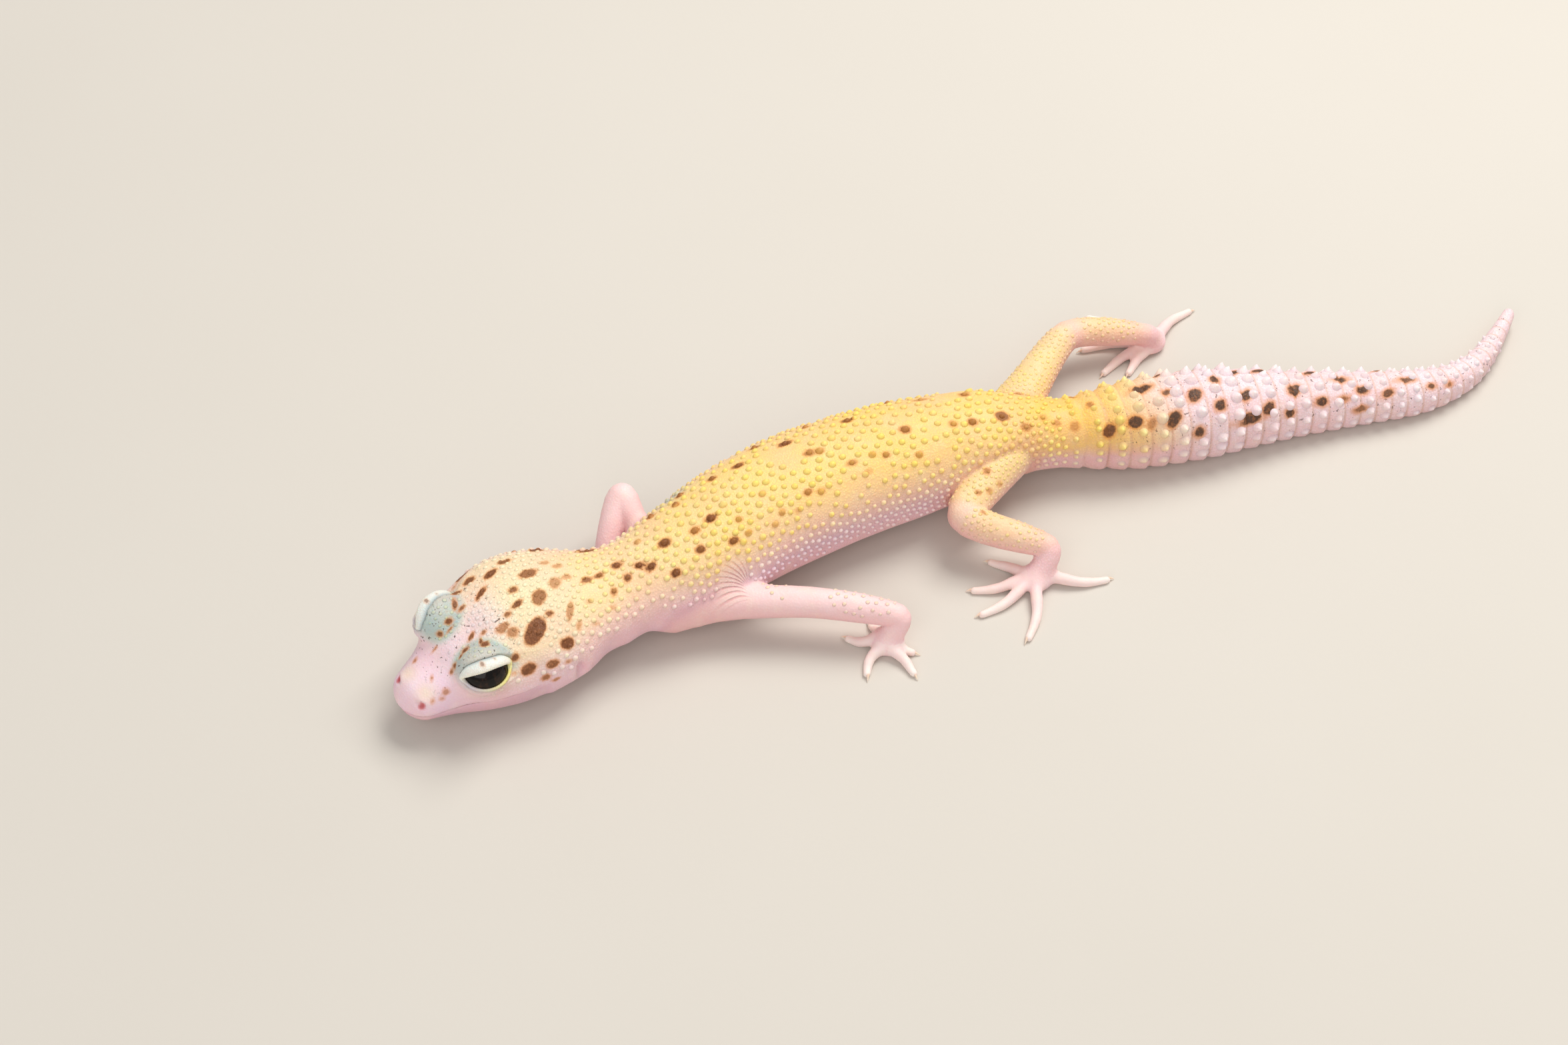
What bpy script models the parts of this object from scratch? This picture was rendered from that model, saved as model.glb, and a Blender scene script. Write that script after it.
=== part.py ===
"""Leopard gecko, a young adult, as a still life-size model in mid stride.

The head looks along -Y, the tail runs along +Y, the animal's left side is +X, and the floor is z = 0.
Sizes are in millimetres up to the last step, where each mesh is written in metres. The trunk, with the head
and the tail, is one loft along a bent midline. Each limb is one tube along its bones. Both are parted
into nodes by thin cuts, GAP wide, where the neck, trunk, tail, elbows, wrists, knees and ankles are.
"""

import math

import bmesh
import bpy
import numpy as np
from mathutils import Matrix, Vector

MM = 0.001
GAP = 0.3  # the width of every cut between two nodes

# Driving lengths, measured along the midline from the tip of the snout.
MOUTH_CORNER = 16.0
HEAD_END = 28.0
NECK_END = 42.0
WAIST = 72.0
VENT = 106.0
TAIL_SPLITS = (133.0, 162.0)
TAIL_TIP = 193.0
SNOUT_TIP = (12.0, -65.2)

# Which way the midline runs, in degrees from +Y towards the animal's left, at distances along it.
COURSE = [
    (0, -14), (17, -14), (23, 2), (28, 2), (34, 0), (44, -9), (54, -15), (66, -5), (80, 2), (96, 7),
    (107, 17), (117, 11), (130, 11), (148, 14), (162, 16), (173, -4), (183, -31), (193, -38),
]
# How far the left side is rolled down, in degrees, about a line ROLL_PIVOT over the floor.
ROLL = [(0, 4), (20, 4), (40, 0), (193, 0)]
ROLL_PIVOT = 7.5

# Distance along the midline, half the width, height of the back, height of the belly.
SECTIONS = {
    "snout": (0.0, 3.3, 7.2, 3.2),
    "nostrils": (2.5, 4.2, 8.5, 2.9),
    "muzzle": (6.0, 5.6, 10.1, 2.3),
    "eyes": (11.0, 8.6, 13.2, 1.8),
    "temples": (16.0, 10.6, 14.8, 1.6),
    "jaw_angle": (21.0, 11.3, 15.4, 1.7),
    "ears": (26.0, 10.8, 15.0, 2.2),
    "nape": (31.0, 9.0, 14.1, 2.7),
    "neck": (36.0, 7.7, 13.7, 2.8),
    "shoulders": (45.0, 8.7, 15.0, 2.2),
    "chest": (54.0, 9.8, 16.1, 1.4),
    "belly": (66.0, 10.2, 16.6, 1.1),
    "loin": (82.0, 9.7, 16.3, 1.2),
    "flanks": (92.0, 8.7, 15.4, 1.6),
    "hips": (99.0, 7.4, 14.3, 2.2),
    "vent": (106.0, 6.0, 12.8, 2.2),
    "tail_root": (112.0, 5.2, 11.7, 1.6),
    "tail_swell": (122.0, 6.4, 12.0, 0.2),
    "tail_fullest": (131.0, 6.5, 11.6, -0.2),
    "tail_taper": (140.0, 5.6, 10.0, -0.2),
    "tail_middle": (149.0, 4.5, 8.1, -0.2),
    "tail_thin": (158.0, 3.8, 6.8, -0.2),
    "tail_bend": (166.0, 3.3, 6.0, -0.2),
    "tail_end": (174.0, 2.4, 4.8, -0.2),
    "tail_lift": (182.0, 1.8, 4.2, 0.2),
    "tail_tip": (193.0, 1.0, 3.6, 1.2),
}
WIDEST_LEVEL = 0.44  # where a section is widest, as a share of its height
BACK_POWER = 2.15  # 2 is an ellipse, more is squarer
BELLY_POWER = 2.7
SNOUT_ROUNDING = 2.6
TAIL_ROUNDING = 0.9

WHORL_START = 109.0
WHORL_LENGTH = 3.4  # one ring of the tail, at its root
WHORL_SHRINK = 0.983  # each ring against the one before it
WHORL_DEPTH = 0.45

EYE_STATION = 11.0
EYE_OUT = 5.7  # of the eyeball's centre from the middle of the head
EYE_HEIGHT = 10.9
EYE_RADII = (3.0, 3.4, 3.3)  # across the head, along it, and up
LID_THICKNESS = 0.5
LID_ANGLES = (-8, 50)  # of the lids' edges over level, seen from the eyeball's centre
EYE_DIVERGENCE = 14  # how far the front of each eye turns in

BODY_SIDES = 18
LIMB_SIDES = 10
TOE_SIDES = 6

# Joint centres of each limb, then its radii at the root, mid-bone, joint, mid-bone, wrist and pad.
# A toe is its direction in degrees from +X, its length from the pad's centre, and how far it bends.
LIMBS = {
    "left_arm": {
        "nodes": ("left_upper_arm", "left_forearm", "left_hand"),
        "joints": ((11.5, -22.5, 5.8), (19.8, -5.5, 6.3), (26.8, 5.5, 5.3), (27.5, 3.6, 1.2)),
        "radii": (4.4, 2.6, 2.35, 2.25, 1.85, 1.8),
        "toes": ((188, 3.9, 0), (237, 5.7, -30), (304, 6.3, 46), (11, 6.5, -6), (42, 4.0, 6)),
    },
    "right_arm": {
        "nodes": ("right_upper_arm", "right_forearm", "right_hand"),
        "joints": ((2.0, -22.5, 5.0), (-7.4, -22.9, 9.2), (-1.2, -28.9, 3.4), (-1.6, -31.0, 1.2)),
        "radii": (2.9, 1.9, 2.3, 2.1, 1.6, 1.7),
        "toes": ((350, 3.9, 0), (302, 5.8, 16), (268, 6.6, -10), (228, 6.6, -18), (172, 4.6, -14)),
    },
    "left_leg": {
        "nodes": ("left_thigh", "left_shank", "left_foot"),
        "joints": ((5.5, 37.0, 7.6), (15.4, 22.3, 7.0), (24.2, 31.4, 4.8), (26.2, 29.0, 1.2)),
        "radii": (4.4, 3.6, 2.7, 2.5, 1.9, 1.9),
        "toes": ((218, 7.4, 0), (258, 9.6, -20), (284, 10.6, -24), (327, 11.0, -26), (64, 10.4, 26)),
    },
    "right_leg": {
        "nodes": ("right_thigh", "right_shank", "right_foot"),
        "joints": ((0.5, 38.0, 7.4), (-10.8, 53.6, 6.6), (-8.2, 66.0, 4.0), (-8.6, 68.0, 1.2)),
        "radii": (4.2, 3.0, 2.4, 2.3, 1.75, 1.9),
        "toes": ((303, 7.4, 0), (283, 10.0, 14), (251, 10.8, 16), (213, 11.0, 22), (113, 9.8, -24)),
    },
}
JOINT_ROUNDING = 0.62  # 0 gives straight bones with a sharp joint, 1 a full curve
TOE_RADIUS = 0.78
TOE_TIP_RADIUS = 0.52
TOE_ARCH = 0.75  # how high a toe's first joint stands over its tip
CLAW_LENGTH = 1.1
CLAW_RADIUS = 0.32
FLOOR_BITE = 0.12  # how far toes and pads sink before the floor cuts them flat

SKIN_YELLOW = (0.86, 0.66, 0.30)
SKIN_PALE = (0.88, 0.72, 0.60)
SKIN_PINK = (0.87, 0.66, 0.60)
TAIL_LILAC = (0.82, 0.66, 0.66)
EYE_DARK = (0.03, 0.018, 0.012)
CLAW_HORN = (0.80, 0.66, 0.52)


# ---------------------------------------------------------------- curves and grids


def eased(rows, at):
    """A smooth curve through the rows' values that never overshoots: a cubic between each two rows, whose
    slope at a row is the harmonic mean of the slopes beside it, or nothing at a peak."""
    keys, values = np.array(rows, float).T
    slopes = np.diff(values) / np.diff(keys)
    before, after = slopes[:-1], slopes[1:]
    same_way = before * after > 0
    mean = 2 * before * after / np.where(same_way, before + after, 1)
    ends = np.concatenate([[slopes[0]], np.where(same_way, mean, 0), [slopes[-1]]])
    at = np.clip(at, keys[0], keys[-1])
    i = np.clip(np.searchsorted(keys, at, side="right") - 1, 0, len(keys) - 2)
    width = keys[i + 1] - keys[i]
    u = (at - keys[i]) / width
    start = (1 + 2 * u) * (1 - u) ** 2 * values[i] + u * (1 - u) ** 2 * width * ends[i]
    return start + u * u * (3 - 2 * u) * values[i + 1] + u * u * (u - 1) * width * ends[i + 1]


FINE = np.linspace(0, TAIL_TIP, 1537)
HEADING = np.radians(eased(COURSE, FINE))
STEPS = np.diff(FINE, prepend=0)
MIDLINE_X = SNOUT_TIP[0] + np.cumsum(np.sin(HEADING) * STEPS)
MIDLINE_Y = SNOUT_TIP[1] + np.cumsum(np.cos(HEADING) * STEPS)


def midline(s):
    """Place on the floor under the midline, and the unit vector towards the animal's left, at distance s."""
    heading = np.interp(s, FINE, HEADING)
    x = np.interp(s, FINE, MIDLINE_X)
    y = np.interp(s, FINE, MIDLINE_Y)
    return x, y, np.cos(heading), -np.sin(heading)


def rolled(s, out, height):
    """Out and height once the body is rolled to its left at distance s."""
    roll = np.radians(eased(ROLL, s))
    over = height - ROLL_PIVOT
    return out * np.cos(roll) + over * np.sin(roll), ROLL_PIVOT + over * np.cos(roll) - out * np.sin(roll)


def body_point(s, out, height):
    """The point at distance s along the midline, out to the left of it, at a height over the floor."""
    x, y, left_x, left_y = midline(s)
    out, height = rolled(np.array([s]), out, height)
    return Vector((float(x + out[0] * left_x), float(y + out[0] * left_y), float(height[0])))


def whorls():
    """Where the tail's rings begin."""
    starts = [WHORL_START]
    length = WHORL_LENGTH
    while starts[-1] + length < TAIL_TIP - 1.0:
        starts.append(starts[-1] + length)
        length *= WHORL_SHRINK
    return np.array(starts)


def whorl_swell(s):
    """How far the ring at distance s stands out: it climbs to its rear edge and drops there."""
    starts = whorls()
    i = np.clip(np.searchsorted(starts, s, side="right") - 1, 0, len(starts) - 2)
    u = np.clip((s - starts[i]) / (starts[i + 1] - starts[i]), 0, 1)
    climb = np.minimum(0.45 + 0.55 * u, (1 - u) / 0.14)
    fade = np.clip((s - WHORL_START) / 6, 0, 1) * np.clip((TAIL_TIP - s) / 26, 0, 1)
    return WHORL_DEPTH * climb * fade


def body_rings(stations, sides=BODY_SIDES, grow=0.0):
    """Rings of points across the body. A ring is a superellipse, squarer below than above, as wide and as
    tall as SECTIONS says, and shrunk as a quarter circle at the snout and the tail tip."""
    rows = np.array(list(SECTIONS.values()))
    s = np.asarray(stations, float)
    half = eased(rows[:, (0, 1)], s)
    back = eased(rows[:, (0, 2)], s)
    belly = eased(rows[:, (0, 3)], s)
    level = belly + WIDEST_LEVEL * (back - belly)
    front_cap = np.sqrt(1 - (1 - np.clip(s / SNOUT_ROUNDING, 0, 1)) ** 2)
    rear_cap = np.sqrt(1 - (1 - np.clip((TAIL_TIP - s) / TAIL_ROUNDING, 0, 1)) ** 2)
    cap = (front_cap * rear_cap)[:, None]
    swell = whorl_swell(s)[:, None] + grow
    t = np.linspace(0, 2 * math.pi, sides, endpoint=False)[None, :]
    c, q = np.cos(t), np.sin(t)
    power = np.where(q >= 0, BACK_POWER, BELLY_POWER)
    reach = (np.abs(c) ** power + np.abs(q) ** power) ** (-1 / power)
    out = (half[:, None] * cap + swell * cap) * c * reach
    tall = np.where(q >= 0, (back - level)[:, None], (level - belly)[:, None]) * cap + swell * cap
    height = level[:, None] + tall * q * reach
    out, height = rolled(s[:, None], out, height)
    x, y, left_x, left_y = (v[:, None] for v in midline(s))
    ring = np.stack([x + out * left_x, y + out * left_y, height], axis=2)
    ring[:, :, 2] = np.maximum(ring[:, :, 2], 0.0 if grow == 0 else -grow)
    return ring


def mesh_of_rings(name, rings, closed_start=False, closed_end=False):
    """A closed mesh over rings of points. Where closed_start or closed_end is set, that end ring has shrunk
    to a point and becomes one vertex. Any other end gets a flat cap."""
    count, sides = rings.shape[:2]
    bm = bmesh.new()
    made = []
    for i, ring in enumerate(rings * MM):
        point_end = (i == 0 and closed_start) or (i == count - 1 and closed_end)
        points = [ring.mean(axis=0)] if point_end else ring
        made.append([bm.verts.new(p) for p in points])
    for a, b in zip(made, made[1:]):
        for j in range(sides):
            k = (j + 1) % sides
            corners = [a[j % len(a)], a[k % len(a)], b[k % len(b)], b[j % len(b)]]
            if len(a) == 1:
                corners.pop(0)
            elif len(b) == 1:
                corners.pop()
            bm.faces.new(corners)
    for ring in (made[0], made[-1]):
        if len(ring) > 1:
            bm.faces.new(ring)
    bmesh.ops.recalc_face_normals(bm, faces=bm.faces)
    if bm.calc_volume(signed=True) < 0:
        bmesh.ops.reverse_faces(bm, faces=bm.faces)
    mesh = bpy.data.meshes.new(name)
    bm.to_mesh(mesh)
    bm.free()
    mesh.shade_smooth()
    mesh.set_sharp_from_angle(angle=math.radians(50))
    return mesh


# ---------------------------------------------------------------- objects and materials


def clear_scene():
    for old in list(bpy.data.objects):
        bpy.data.objects.remove(old)


def finish_of(name, colour, roughness):
    material = bpy.data.materials.new(name)
    material.use_nodes = True
    shader = material.node_tree.nodes["Principled BSDF"]
    shader.inputs["Base Color"].default_value = (*colour, 1)
    shader.inputs["Roughness"].default_value = roughness
    shader.inputs["Metallic"].default_value = 0.0
    return material


def add(name, mesh, material=None):
    obj = bpy.data.objects.new(name, mesh)
    bpy.context.scene.collection.objects.link(obj)
    if material:
        mesh.materials.append(material)
    return obj


def helper(name, mesh):
    """An object that only cuts or joins: it isn't part of the model."""
    obj = add(name, mesh)
    obj.hide_render = True
    obj.display_type = "WIRE"
    return obj


def combine(obj, other, operation):
    step = obj.modifiers.new(f"{operation.lower()}_{other.name}", "BOOLEAN")
    step.operation = operation
    step.solver = "EXACT"
    step.object = other


def ball(name, centre, radii, turn=0.0, segments=14, rings=8):
    """A helper ellipsoid, its radii along the head's left, length and height once turned about Z."""
    bm = bmesh.new()
    bmesh.ops.create_uvsphere(bm, u_segments=segments, v_segments=rings, radius=1)
    size = Matrix.Diagonal(Vector([r * MM for r in radii] + [1]))
    place = Matrix.Translation(Vector(centre) * MM) @ Matrix.Rotation(turn, 4, "Z")
    bmesh.ops.transform(bm, matrix=place @ size, verts=bm.verts)
    mesh = bpy.data.meshes.new(name)
    bm.to_mesh(mesh)
    bm.free()
    mesh.shade_smooth()
    return mesh


def head_prism(name, profile, reach=14.0):
    """A helper prism across the head. The profile's points are distances along the midline and heights."""
    bm = bmesh.new()
    sides = [[bm.verts.new(body_point(s, out, z) * MM) for s, z in profile] for out in (-reach, reach)]
    for j in range(len(profile)):
        k = (j + 1) % len(profile)
        bm.faces.new((sides[0][j], sides[0][k], sides[1][k], sides[1][j]))
    bm.faces.new(sides[0])
    bm.faces.new(sides[1])
    bmesh.ops.recalc_face_normals(bm, faces=bm.faces)
    mesh = bpy.data.meshes.new(name)
    bm.to_mesh(mesh)
    bm.free()
    return helper(name, mesh)


# ---------------------------------------------------------------- head, trunk and tail


def mouth_profile(lift):
    """The lower jaw's side outline: the mouth line from the front, then down behind the mouth's corner.
    Its front is in front of the snout, where the course holds the snout's direction."""
    line = [(0.0, 5.0), (3.0, 5.3), (6.0, 5.8), (10.0, 6.7), (MOUTH_CORNER, 7.8)]
    rear = MOUTH_CORNER + 1.6
    raised = [(s, z + lift) for s, z in line]
    return raised + [(rear + lift, 5.0), (rear + 1.2 + lift, 0.0), (0.0, 0.0)]


def opening_wedge(name, side, centre):
    """The space between the eyelids: a wedge with its edge along the eyeball, nearer the middle of the head
    in front. It opens from a little under level to well above it."""
    turn = math.radians(-COURSE[0][1] - side * EYE_DIVERGENCE)
    ahead = Vector((math.sin(turn), -math.cos(turn), 0))
    outward = Vector((math.cos(turn), math.sin(turn), 0)) * side
    up = Vector((0, 0, 1))
    middle = centre + ahead * 0.4
    lower, upper = (math.radians(a - side * ROLL[0][1]) for a in LID_ANGLES)
    far = 7.0
    profile = [middle] + [middle + (outward * math.cos(a) + up * math.sin(a)) * far for a in (upper, lower)]
    bm = bmesh.new()
    ends = [[bm.verts.new((p + ahead * (3.2 * way)) * MM) for p in profile] for way in (-1, 1)]
    for j in range(3):
        k = (j + 1) % 3
        bm.faces.new((ends[0][j], ends[0][k], ends[1][k], ends[1][j]))
    bm.faces.new(ends[0])
    bm.faces.new(ends[1])
    bmesh.ops.recalc_face_normals(bm, faces=bm.faces)
    mesh = bpy.data.meshes.new(name)
    bm.to_mesh(mesh)
    bm.free()
    return helper(name, mesh)


def eye_centre(side):
    return body_point(EYE_STATION, side * EYE_OUT, EYE_HEIGHT)


def make_head(skin, lips, eye_finish):
    stations = np.concatenate([[0, 0.12, 0.5, 1.1, 1.9, 2.9], np.arange(4.5, HEAD_END - 1, 1.9), [HEAD_END]])
    rings = body_rings(stations, sides=20)
    head = add("head", mesh_of_rings("head", rings, closed_start=True), skin)
    jaw = add("lower_jaw", head.data.copy())
    jaw.data.materials.clear()
    jaw.data.materials.append(lips)
    combine(jaw, head_prism("jaw_region", mouth_profile(0)), "INTERSECT")
    for side, word in ((1, "left"), (-1, "right")):
        centre = eye_centre(side)
        turn = math.radians(-COURSE[0][1] - side * EYE_DIVERGENCE)
        shell = [r + GAP for r in EYE_RADII]
        outer = [r + LID_THICKNESS for r in shell]
        lids = helper(f"{word}_lids", ball(f"{word}_lids", centre, outer, turn))
        combine(lids, opening_wedge(f"{word}_lid_opening", side, centre), "DIFFERENCE")
        combine(head, lids, "UNION")
        socket = helper(f"{word}_socket", ball(f"{word}_socket", centre, shell, turn))
        combine(head, socket, "DIFFERENCE")
        eye = ball(f"{word}_eye", centre, EYE_RADII, turn)
        add(f"{word}_eye", eye, eye_finish)
        ear = body_point(26.2, side * 10.1, 7.4)
        pit = helper(f"{word}_ear_pit", ball(f"{word}_ear_pit", ear, (0.9, 0.6, 1.5), turn, 8, 6))
        combine(head, pit, "DIFFERENCE")
    combine(head, head_prism("jaw_clearance", mouth_profile(GAP)), "DIFFERENCE")


def make_trunk(skin, tail_skin):
    half = GAP / 2
    spans = (
        ("neck", HEAD_END, NECK_END, 2.0, skin),
        ("trunk_front", NECK_END, WAIST, 2.8, skin),
        ("trunk_rear", WAIST, VENT, 2.8, skin),
    )
    for name, start, end, step, finish in spans:
        stations = np.linspace(start + GAP, end, round((end - start) / step))
        add(name, mesh_of_rings(name, body_rings(stations)), finish)
    edges = (VENT, *TAIL_SPLITS, TAIL_TIP)
    marks = whorls()
    profile = np.array([0.04, 0.86])
    lengths = np.diff(marks, append=marks[-1] + 1)
    rings_at = np.sort(np.concatenate([marks + lengths * p for p in profile]))
    for name, start, end in zip(("tail_base", "tail_middle", "tail_end"), edges, edges[1:]):
        inside = rings_at[(rings_at > start + GAP + half) & (rings_at < end - 1.0)]
        last = [end - 1.0, end - 0.5, end - 0.12, end] if end == TAIL_TIP else [end]
        stations = np.concatenate([[start + GAP], inside, last])
        rings = body_rings(stations, sides=10)
        add(name, mesh_of_rings(name, rings, closed_end=end == TAIL_TIP), tail_skin)


# ---------------------------------------------------------------- limbs


def bent_path(joints, at):
    """A curve through the joints: a cubic along each bone, whose tangent at a joint lies along the line
    between its neighbours, shortened so that the bones stay nearly straight."""
    p = np.array(joints, float)
    tangents = np.gradient(p, axis=0) * JOINT_ROUNDING
    i = np.clip(at.astype(int), 0, len(p) - 2)
    u = (at - i)[:, None]
    start = (1 + 2 * u) * (1 - u) ** 2 * p[i] + u * (1 - u) ** 2 * tangents[i]
    return start + u * u * (3 - 2 * u) * p[i + 1] + u * u * (u - 1) * tangents[i + 1]


def tube_rings(points, radii, sides, flatten=None):
    """Circles round a path, each turned from the one before it by the path's own bend."""
    tangents = np.gradient(points, axis=0)
    tangents /= np.linalg.norm(tangents, axis=1, keepdims=True)
    side = np.cross(tangents[0], (0, 0, 1.0))
    angle = np.linspace(0, 2 * math.pi, sides, endpoint=False)[:, None]
    rings = []
    for point, tangent, radius in zip(points, tangents, radii):
        side = side - tangent * side.dot(tangent)
        side /= np.linalg.norm(side)
        up = np.cross(side, tangent)
        rings.append(point + radius * (np.cos(angle) * side + np.sin(angle) * up))
    return np.array(rings)


def toe_path(pad, heading, length, bend):
    """A toe's middle line from the pad's centre: up over its first joint, then down to the floor. It starts
    along its heading less half the bend, and ends along its heading plus half of it."""
    u = np.linspace(0.1, 1, 6)
    turn = np.radians(heading - bend / 2 + bend * u)
    step = np.diff(u, prepend=0)[:, None] * length
    flat = np.cumsum(np.stack([np.cos(turn), np.sin(turn)], axis=1) * step, axis=0)
    rest = TOE_TIP_RADIUS - FLOOR_BITE
    height = rest + (pad[2] - rest) * (1 - u) ** 2 + TOE_ARCH * np.sin(math.pi * u) * (1 - u)
    return np.column_stack([pad[0] + flat[:, 0], pad[1] + flat[:, 1], height])


def make_toe(name, path):
    u = np.linspace(0, 1, len(path))
    radii = TOE_RADIUS + (TOE_TIP_RADIUS - TOE_RADIUS) * u
    radii[-1] *= 0.6
    return helper(name, mesh_of_rings(name, tube_rings(path, radii, TOE_SIDES)))


def make_claw(name, path, finish):
    """A hooked claw ahead of the toe's end: a cone that curves down to the floor."""
    ahead = path[-1] - path[-2]
    ahead /= np.linalg.norm(ahead)
    u = np.linspace(0, 1, 4)[:, None]
    start = path[-1] + ahead * GAP + (0, 0, 0.12)
    drop = np.array([0, 0, 1.0]) * (start[2] - 0.16)
    points = start + ahead * CLAW_LENGTH * u - drop * u * u
    radii = CLAW_RADIUS * (1 - u[:, 0]) ** 0.8 + 0.07
    rings = tube_rings(points, radii, 5)
    rings[:, :, 2] = np.maximum(rings[:, :, 2], 0.01)
    add(name, mesh_of_rings(name, rings), finish)


def limb_rings(limb, start, grow=0.0, round_start=False, round_end=True):
    """Rings along one bone of a limb, from joint number start to the next. A rounded end adds rings that
    shrink as a quarter circle."""
    at = np.linspace(start, start + 1, 6)
    points = bent_path(limb["joints"], at)
    radii = eased(list(zip((0, 0.5, 1, 1.5, 2, 3), limb["radii"])), at) + grow
    for wanted, end, before in ((round_start, 0, 1), (round_end, -1, -2)):
        if not wanted:
            continue
        ahead = points[end] - points[before]
        ahead /= np.linalg.norm(ahead)
        turn = np.radians([40, 75])
        extra = points[end] + ahead * radii[end] * np.sin(turn)[:, None]
        narrow = radii[end] * np.cos(turn)
        if end == 0:
            points, radii = np.vstack([extra[::-1], points]), np.concatenate([narrow[::-1], radii])
        else:
            points, radii = np.vstack([points, extra]), np.concatenate([radii, narrow])
    return tube_rings(points, radii, LIMB_SIDES)


def add_paw(obj, name, limb, horn):
    """The pad under a hand or a foot, its five toes and their claws."""
    pad = limb["joints"][3]
    sole = ball(f"{name}_sole", (pad[0], pad[1], pad[2] - 0.05), (2.1, 2.1, 1.35), segments=10, rings=6)
    combine(obj, helper(f"{name}_sole", sole), "UNION")
    for number, toe in enumerate(limb["toes"], 1):
        path = toe_path(pad, *toe)
        combine(obj, make_toe(f"{name}_toe_{number}", path), "UNION")
        make_claw(f"{name}_claw_{number}", path, horn)


def make_limb(limb, clearance, floor, skin, horn):
    """A limb's three nodes. Each is hollowed where the one before it, grown by GAP, would reach into it."""
    for i, name in enumerate(limb["nodes"]):
        last = i == len(limb["nodes"]) - 1
        rings = limb_rings(limb, i, round_start=i == 0, round_end=not last)
        obj = add(name, mesh_of_rings(name, rings), skin)
        if last:
            add_paw(obj, name, limb, horn)
            combine(obj, floor, "DIFFERENCE")
        combine(obj, clearance, "DIFFERENCE")
        grown = mesh_of_rings(f"{name}_clearance", limb_rings(limb, i, grow=GAP, round_start=i == 0))
        clearance = helper(f"{name}_clearance", grown)


# ---------------------------------------------------------------- the whole animal


def centre_on_floor():
    """Moves the model so that the middle of its box stands over the origin."""
    graph = bpy.context.evaluated_depsgraph_get()
    corners = []
    for obj in bpy.data.objects:
        if not obj.hide_render:
            corners += [Vector(c) for c in obj.evaluated_get(graph).bound_box]
    low = [min(c[i] for c in corners) for i in range(2)]
    high = [max(c[i] for c in corners) for i in range(2)]
    for obj in bpy.data.objects:
        obj.location.x -= (low[0] + high[0]) / 2
        obj.location.y -= (low[1] + high[1]) / 2


def main():
    clear_scene()
    yellow = finish_of("back_skin", SKIN_YELLOW, 0.55)
    pale = finish_of("head_skin", SKIN_PALE, 0.5)
    pink = finish_of("limb_skin", SKIN_PINK, 0.5)
    lilac = finish_of("tail_skin", TAIL_LILAC, 0.55)
    dark = finish_of("eye", EYE_DARK, 0.05)
    horn = finish_of("claw_horn", CLAW_HORN, 0.4)
    make_head(pale, pink, dark)
    make_trunk(yellow, lilac)
    trunk = body_rings(np.linspace(30, 120, 46), grow=GAP)
    clearance = helper("trunk_clearance", mesh_of_rings("trunk_clearance", trunk))
    slab = bmesh.new()
    bmesh.ops.create_cube(slab, size=1)
    low = Matrix.Translation((0, 0, -5 * MM)) @ Matrix.Diagonal((0.4, 0.4, 10 * MM, 1))
    bmesh.ops.transform(slab, matrix=low, verts=slab.verts)
    floor_mesh = bpy.data.meshes.new("floor")
    slab.to_mesh(floor_mesh)
    slab.free()
    floor = helper("floor", floor_mesh)
    for limb in LIMBS.values():
        make_limb(limb, clearance, floor, pink, horn)
    centre_on_floor()


main()
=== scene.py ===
"""The looks of a still, life-size leopard gecko: one skin with scales, lids, eyes and claws, on a pale floor.

Shapes are worked out in millimetres in the animal's own frame: the head looks along -Y, its left side is +X
and the floor is z = 0. `placed` moves them onto the frame's eye and turns them into metres. A place on the
body is a distance s along the midline from the snout, and an angle round the section: 0 at its left side, 90
on its back.
"""

import math
from collections import namedtuple

import bmesh
import bpy
import numpy as np
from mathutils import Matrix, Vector


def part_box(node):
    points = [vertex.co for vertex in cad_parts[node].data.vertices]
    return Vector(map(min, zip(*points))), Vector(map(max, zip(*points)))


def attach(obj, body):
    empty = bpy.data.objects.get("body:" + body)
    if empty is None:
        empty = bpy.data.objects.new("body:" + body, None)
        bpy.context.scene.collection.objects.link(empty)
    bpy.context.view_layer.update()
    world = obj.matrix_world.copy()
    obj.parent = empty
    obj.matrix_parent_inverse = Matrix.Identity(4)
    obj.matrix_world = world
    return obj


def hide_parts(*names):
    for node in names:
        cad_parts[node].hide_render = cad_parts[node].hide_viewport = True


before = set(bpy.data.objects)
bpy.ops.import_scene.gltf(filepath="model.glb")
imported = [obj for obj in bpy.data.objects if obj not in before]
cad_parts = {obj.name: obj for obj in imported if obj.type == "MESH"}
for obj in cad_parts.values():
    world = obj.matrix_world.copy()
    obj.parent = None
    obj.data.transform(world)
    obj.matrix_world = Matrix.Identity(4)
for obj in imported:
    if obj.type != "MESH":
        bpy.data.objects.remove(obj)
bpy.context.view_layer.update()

bl_info = {
    "name": "Leopard gecko",
    "version": (1, 0, 0),
    "blender": (4, 5, 0),
    "location": "3D View > Sidebar > Gecko",
    "description": "Builds the skin, scales, lids, eyes, claws and stage of a life-size leopard gecko",
    "category": "Object",
}

MM = 0.001

# ---------------------------------------------------------------- the body's measures

SNOUT_TIP = (12.0, -65.2)
TAIL_TIP = 193.0

# Which way the midline runs, in degrees from +Y towards the animal's left, at distances along it.
COURSE = [
    (0, -14), (17, -14), (23, 2), (28, 2), (34, 0), (44, -9), (54, -15), (66, -5), (80, 2), (96, 7),
    (107, 17), (117, 11), (130, 11), (148, 14), (162, 16), (173, -4), (183, -31), (193, -38),
]
# How far the left side is rolled down, in degrees, about a line ROLL_PIVOT over the floor.
ROLL = [(0, 4), (20, 4), (40, 0), (193, 0)]
ROLL_PIVOT = 7.5

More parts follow.
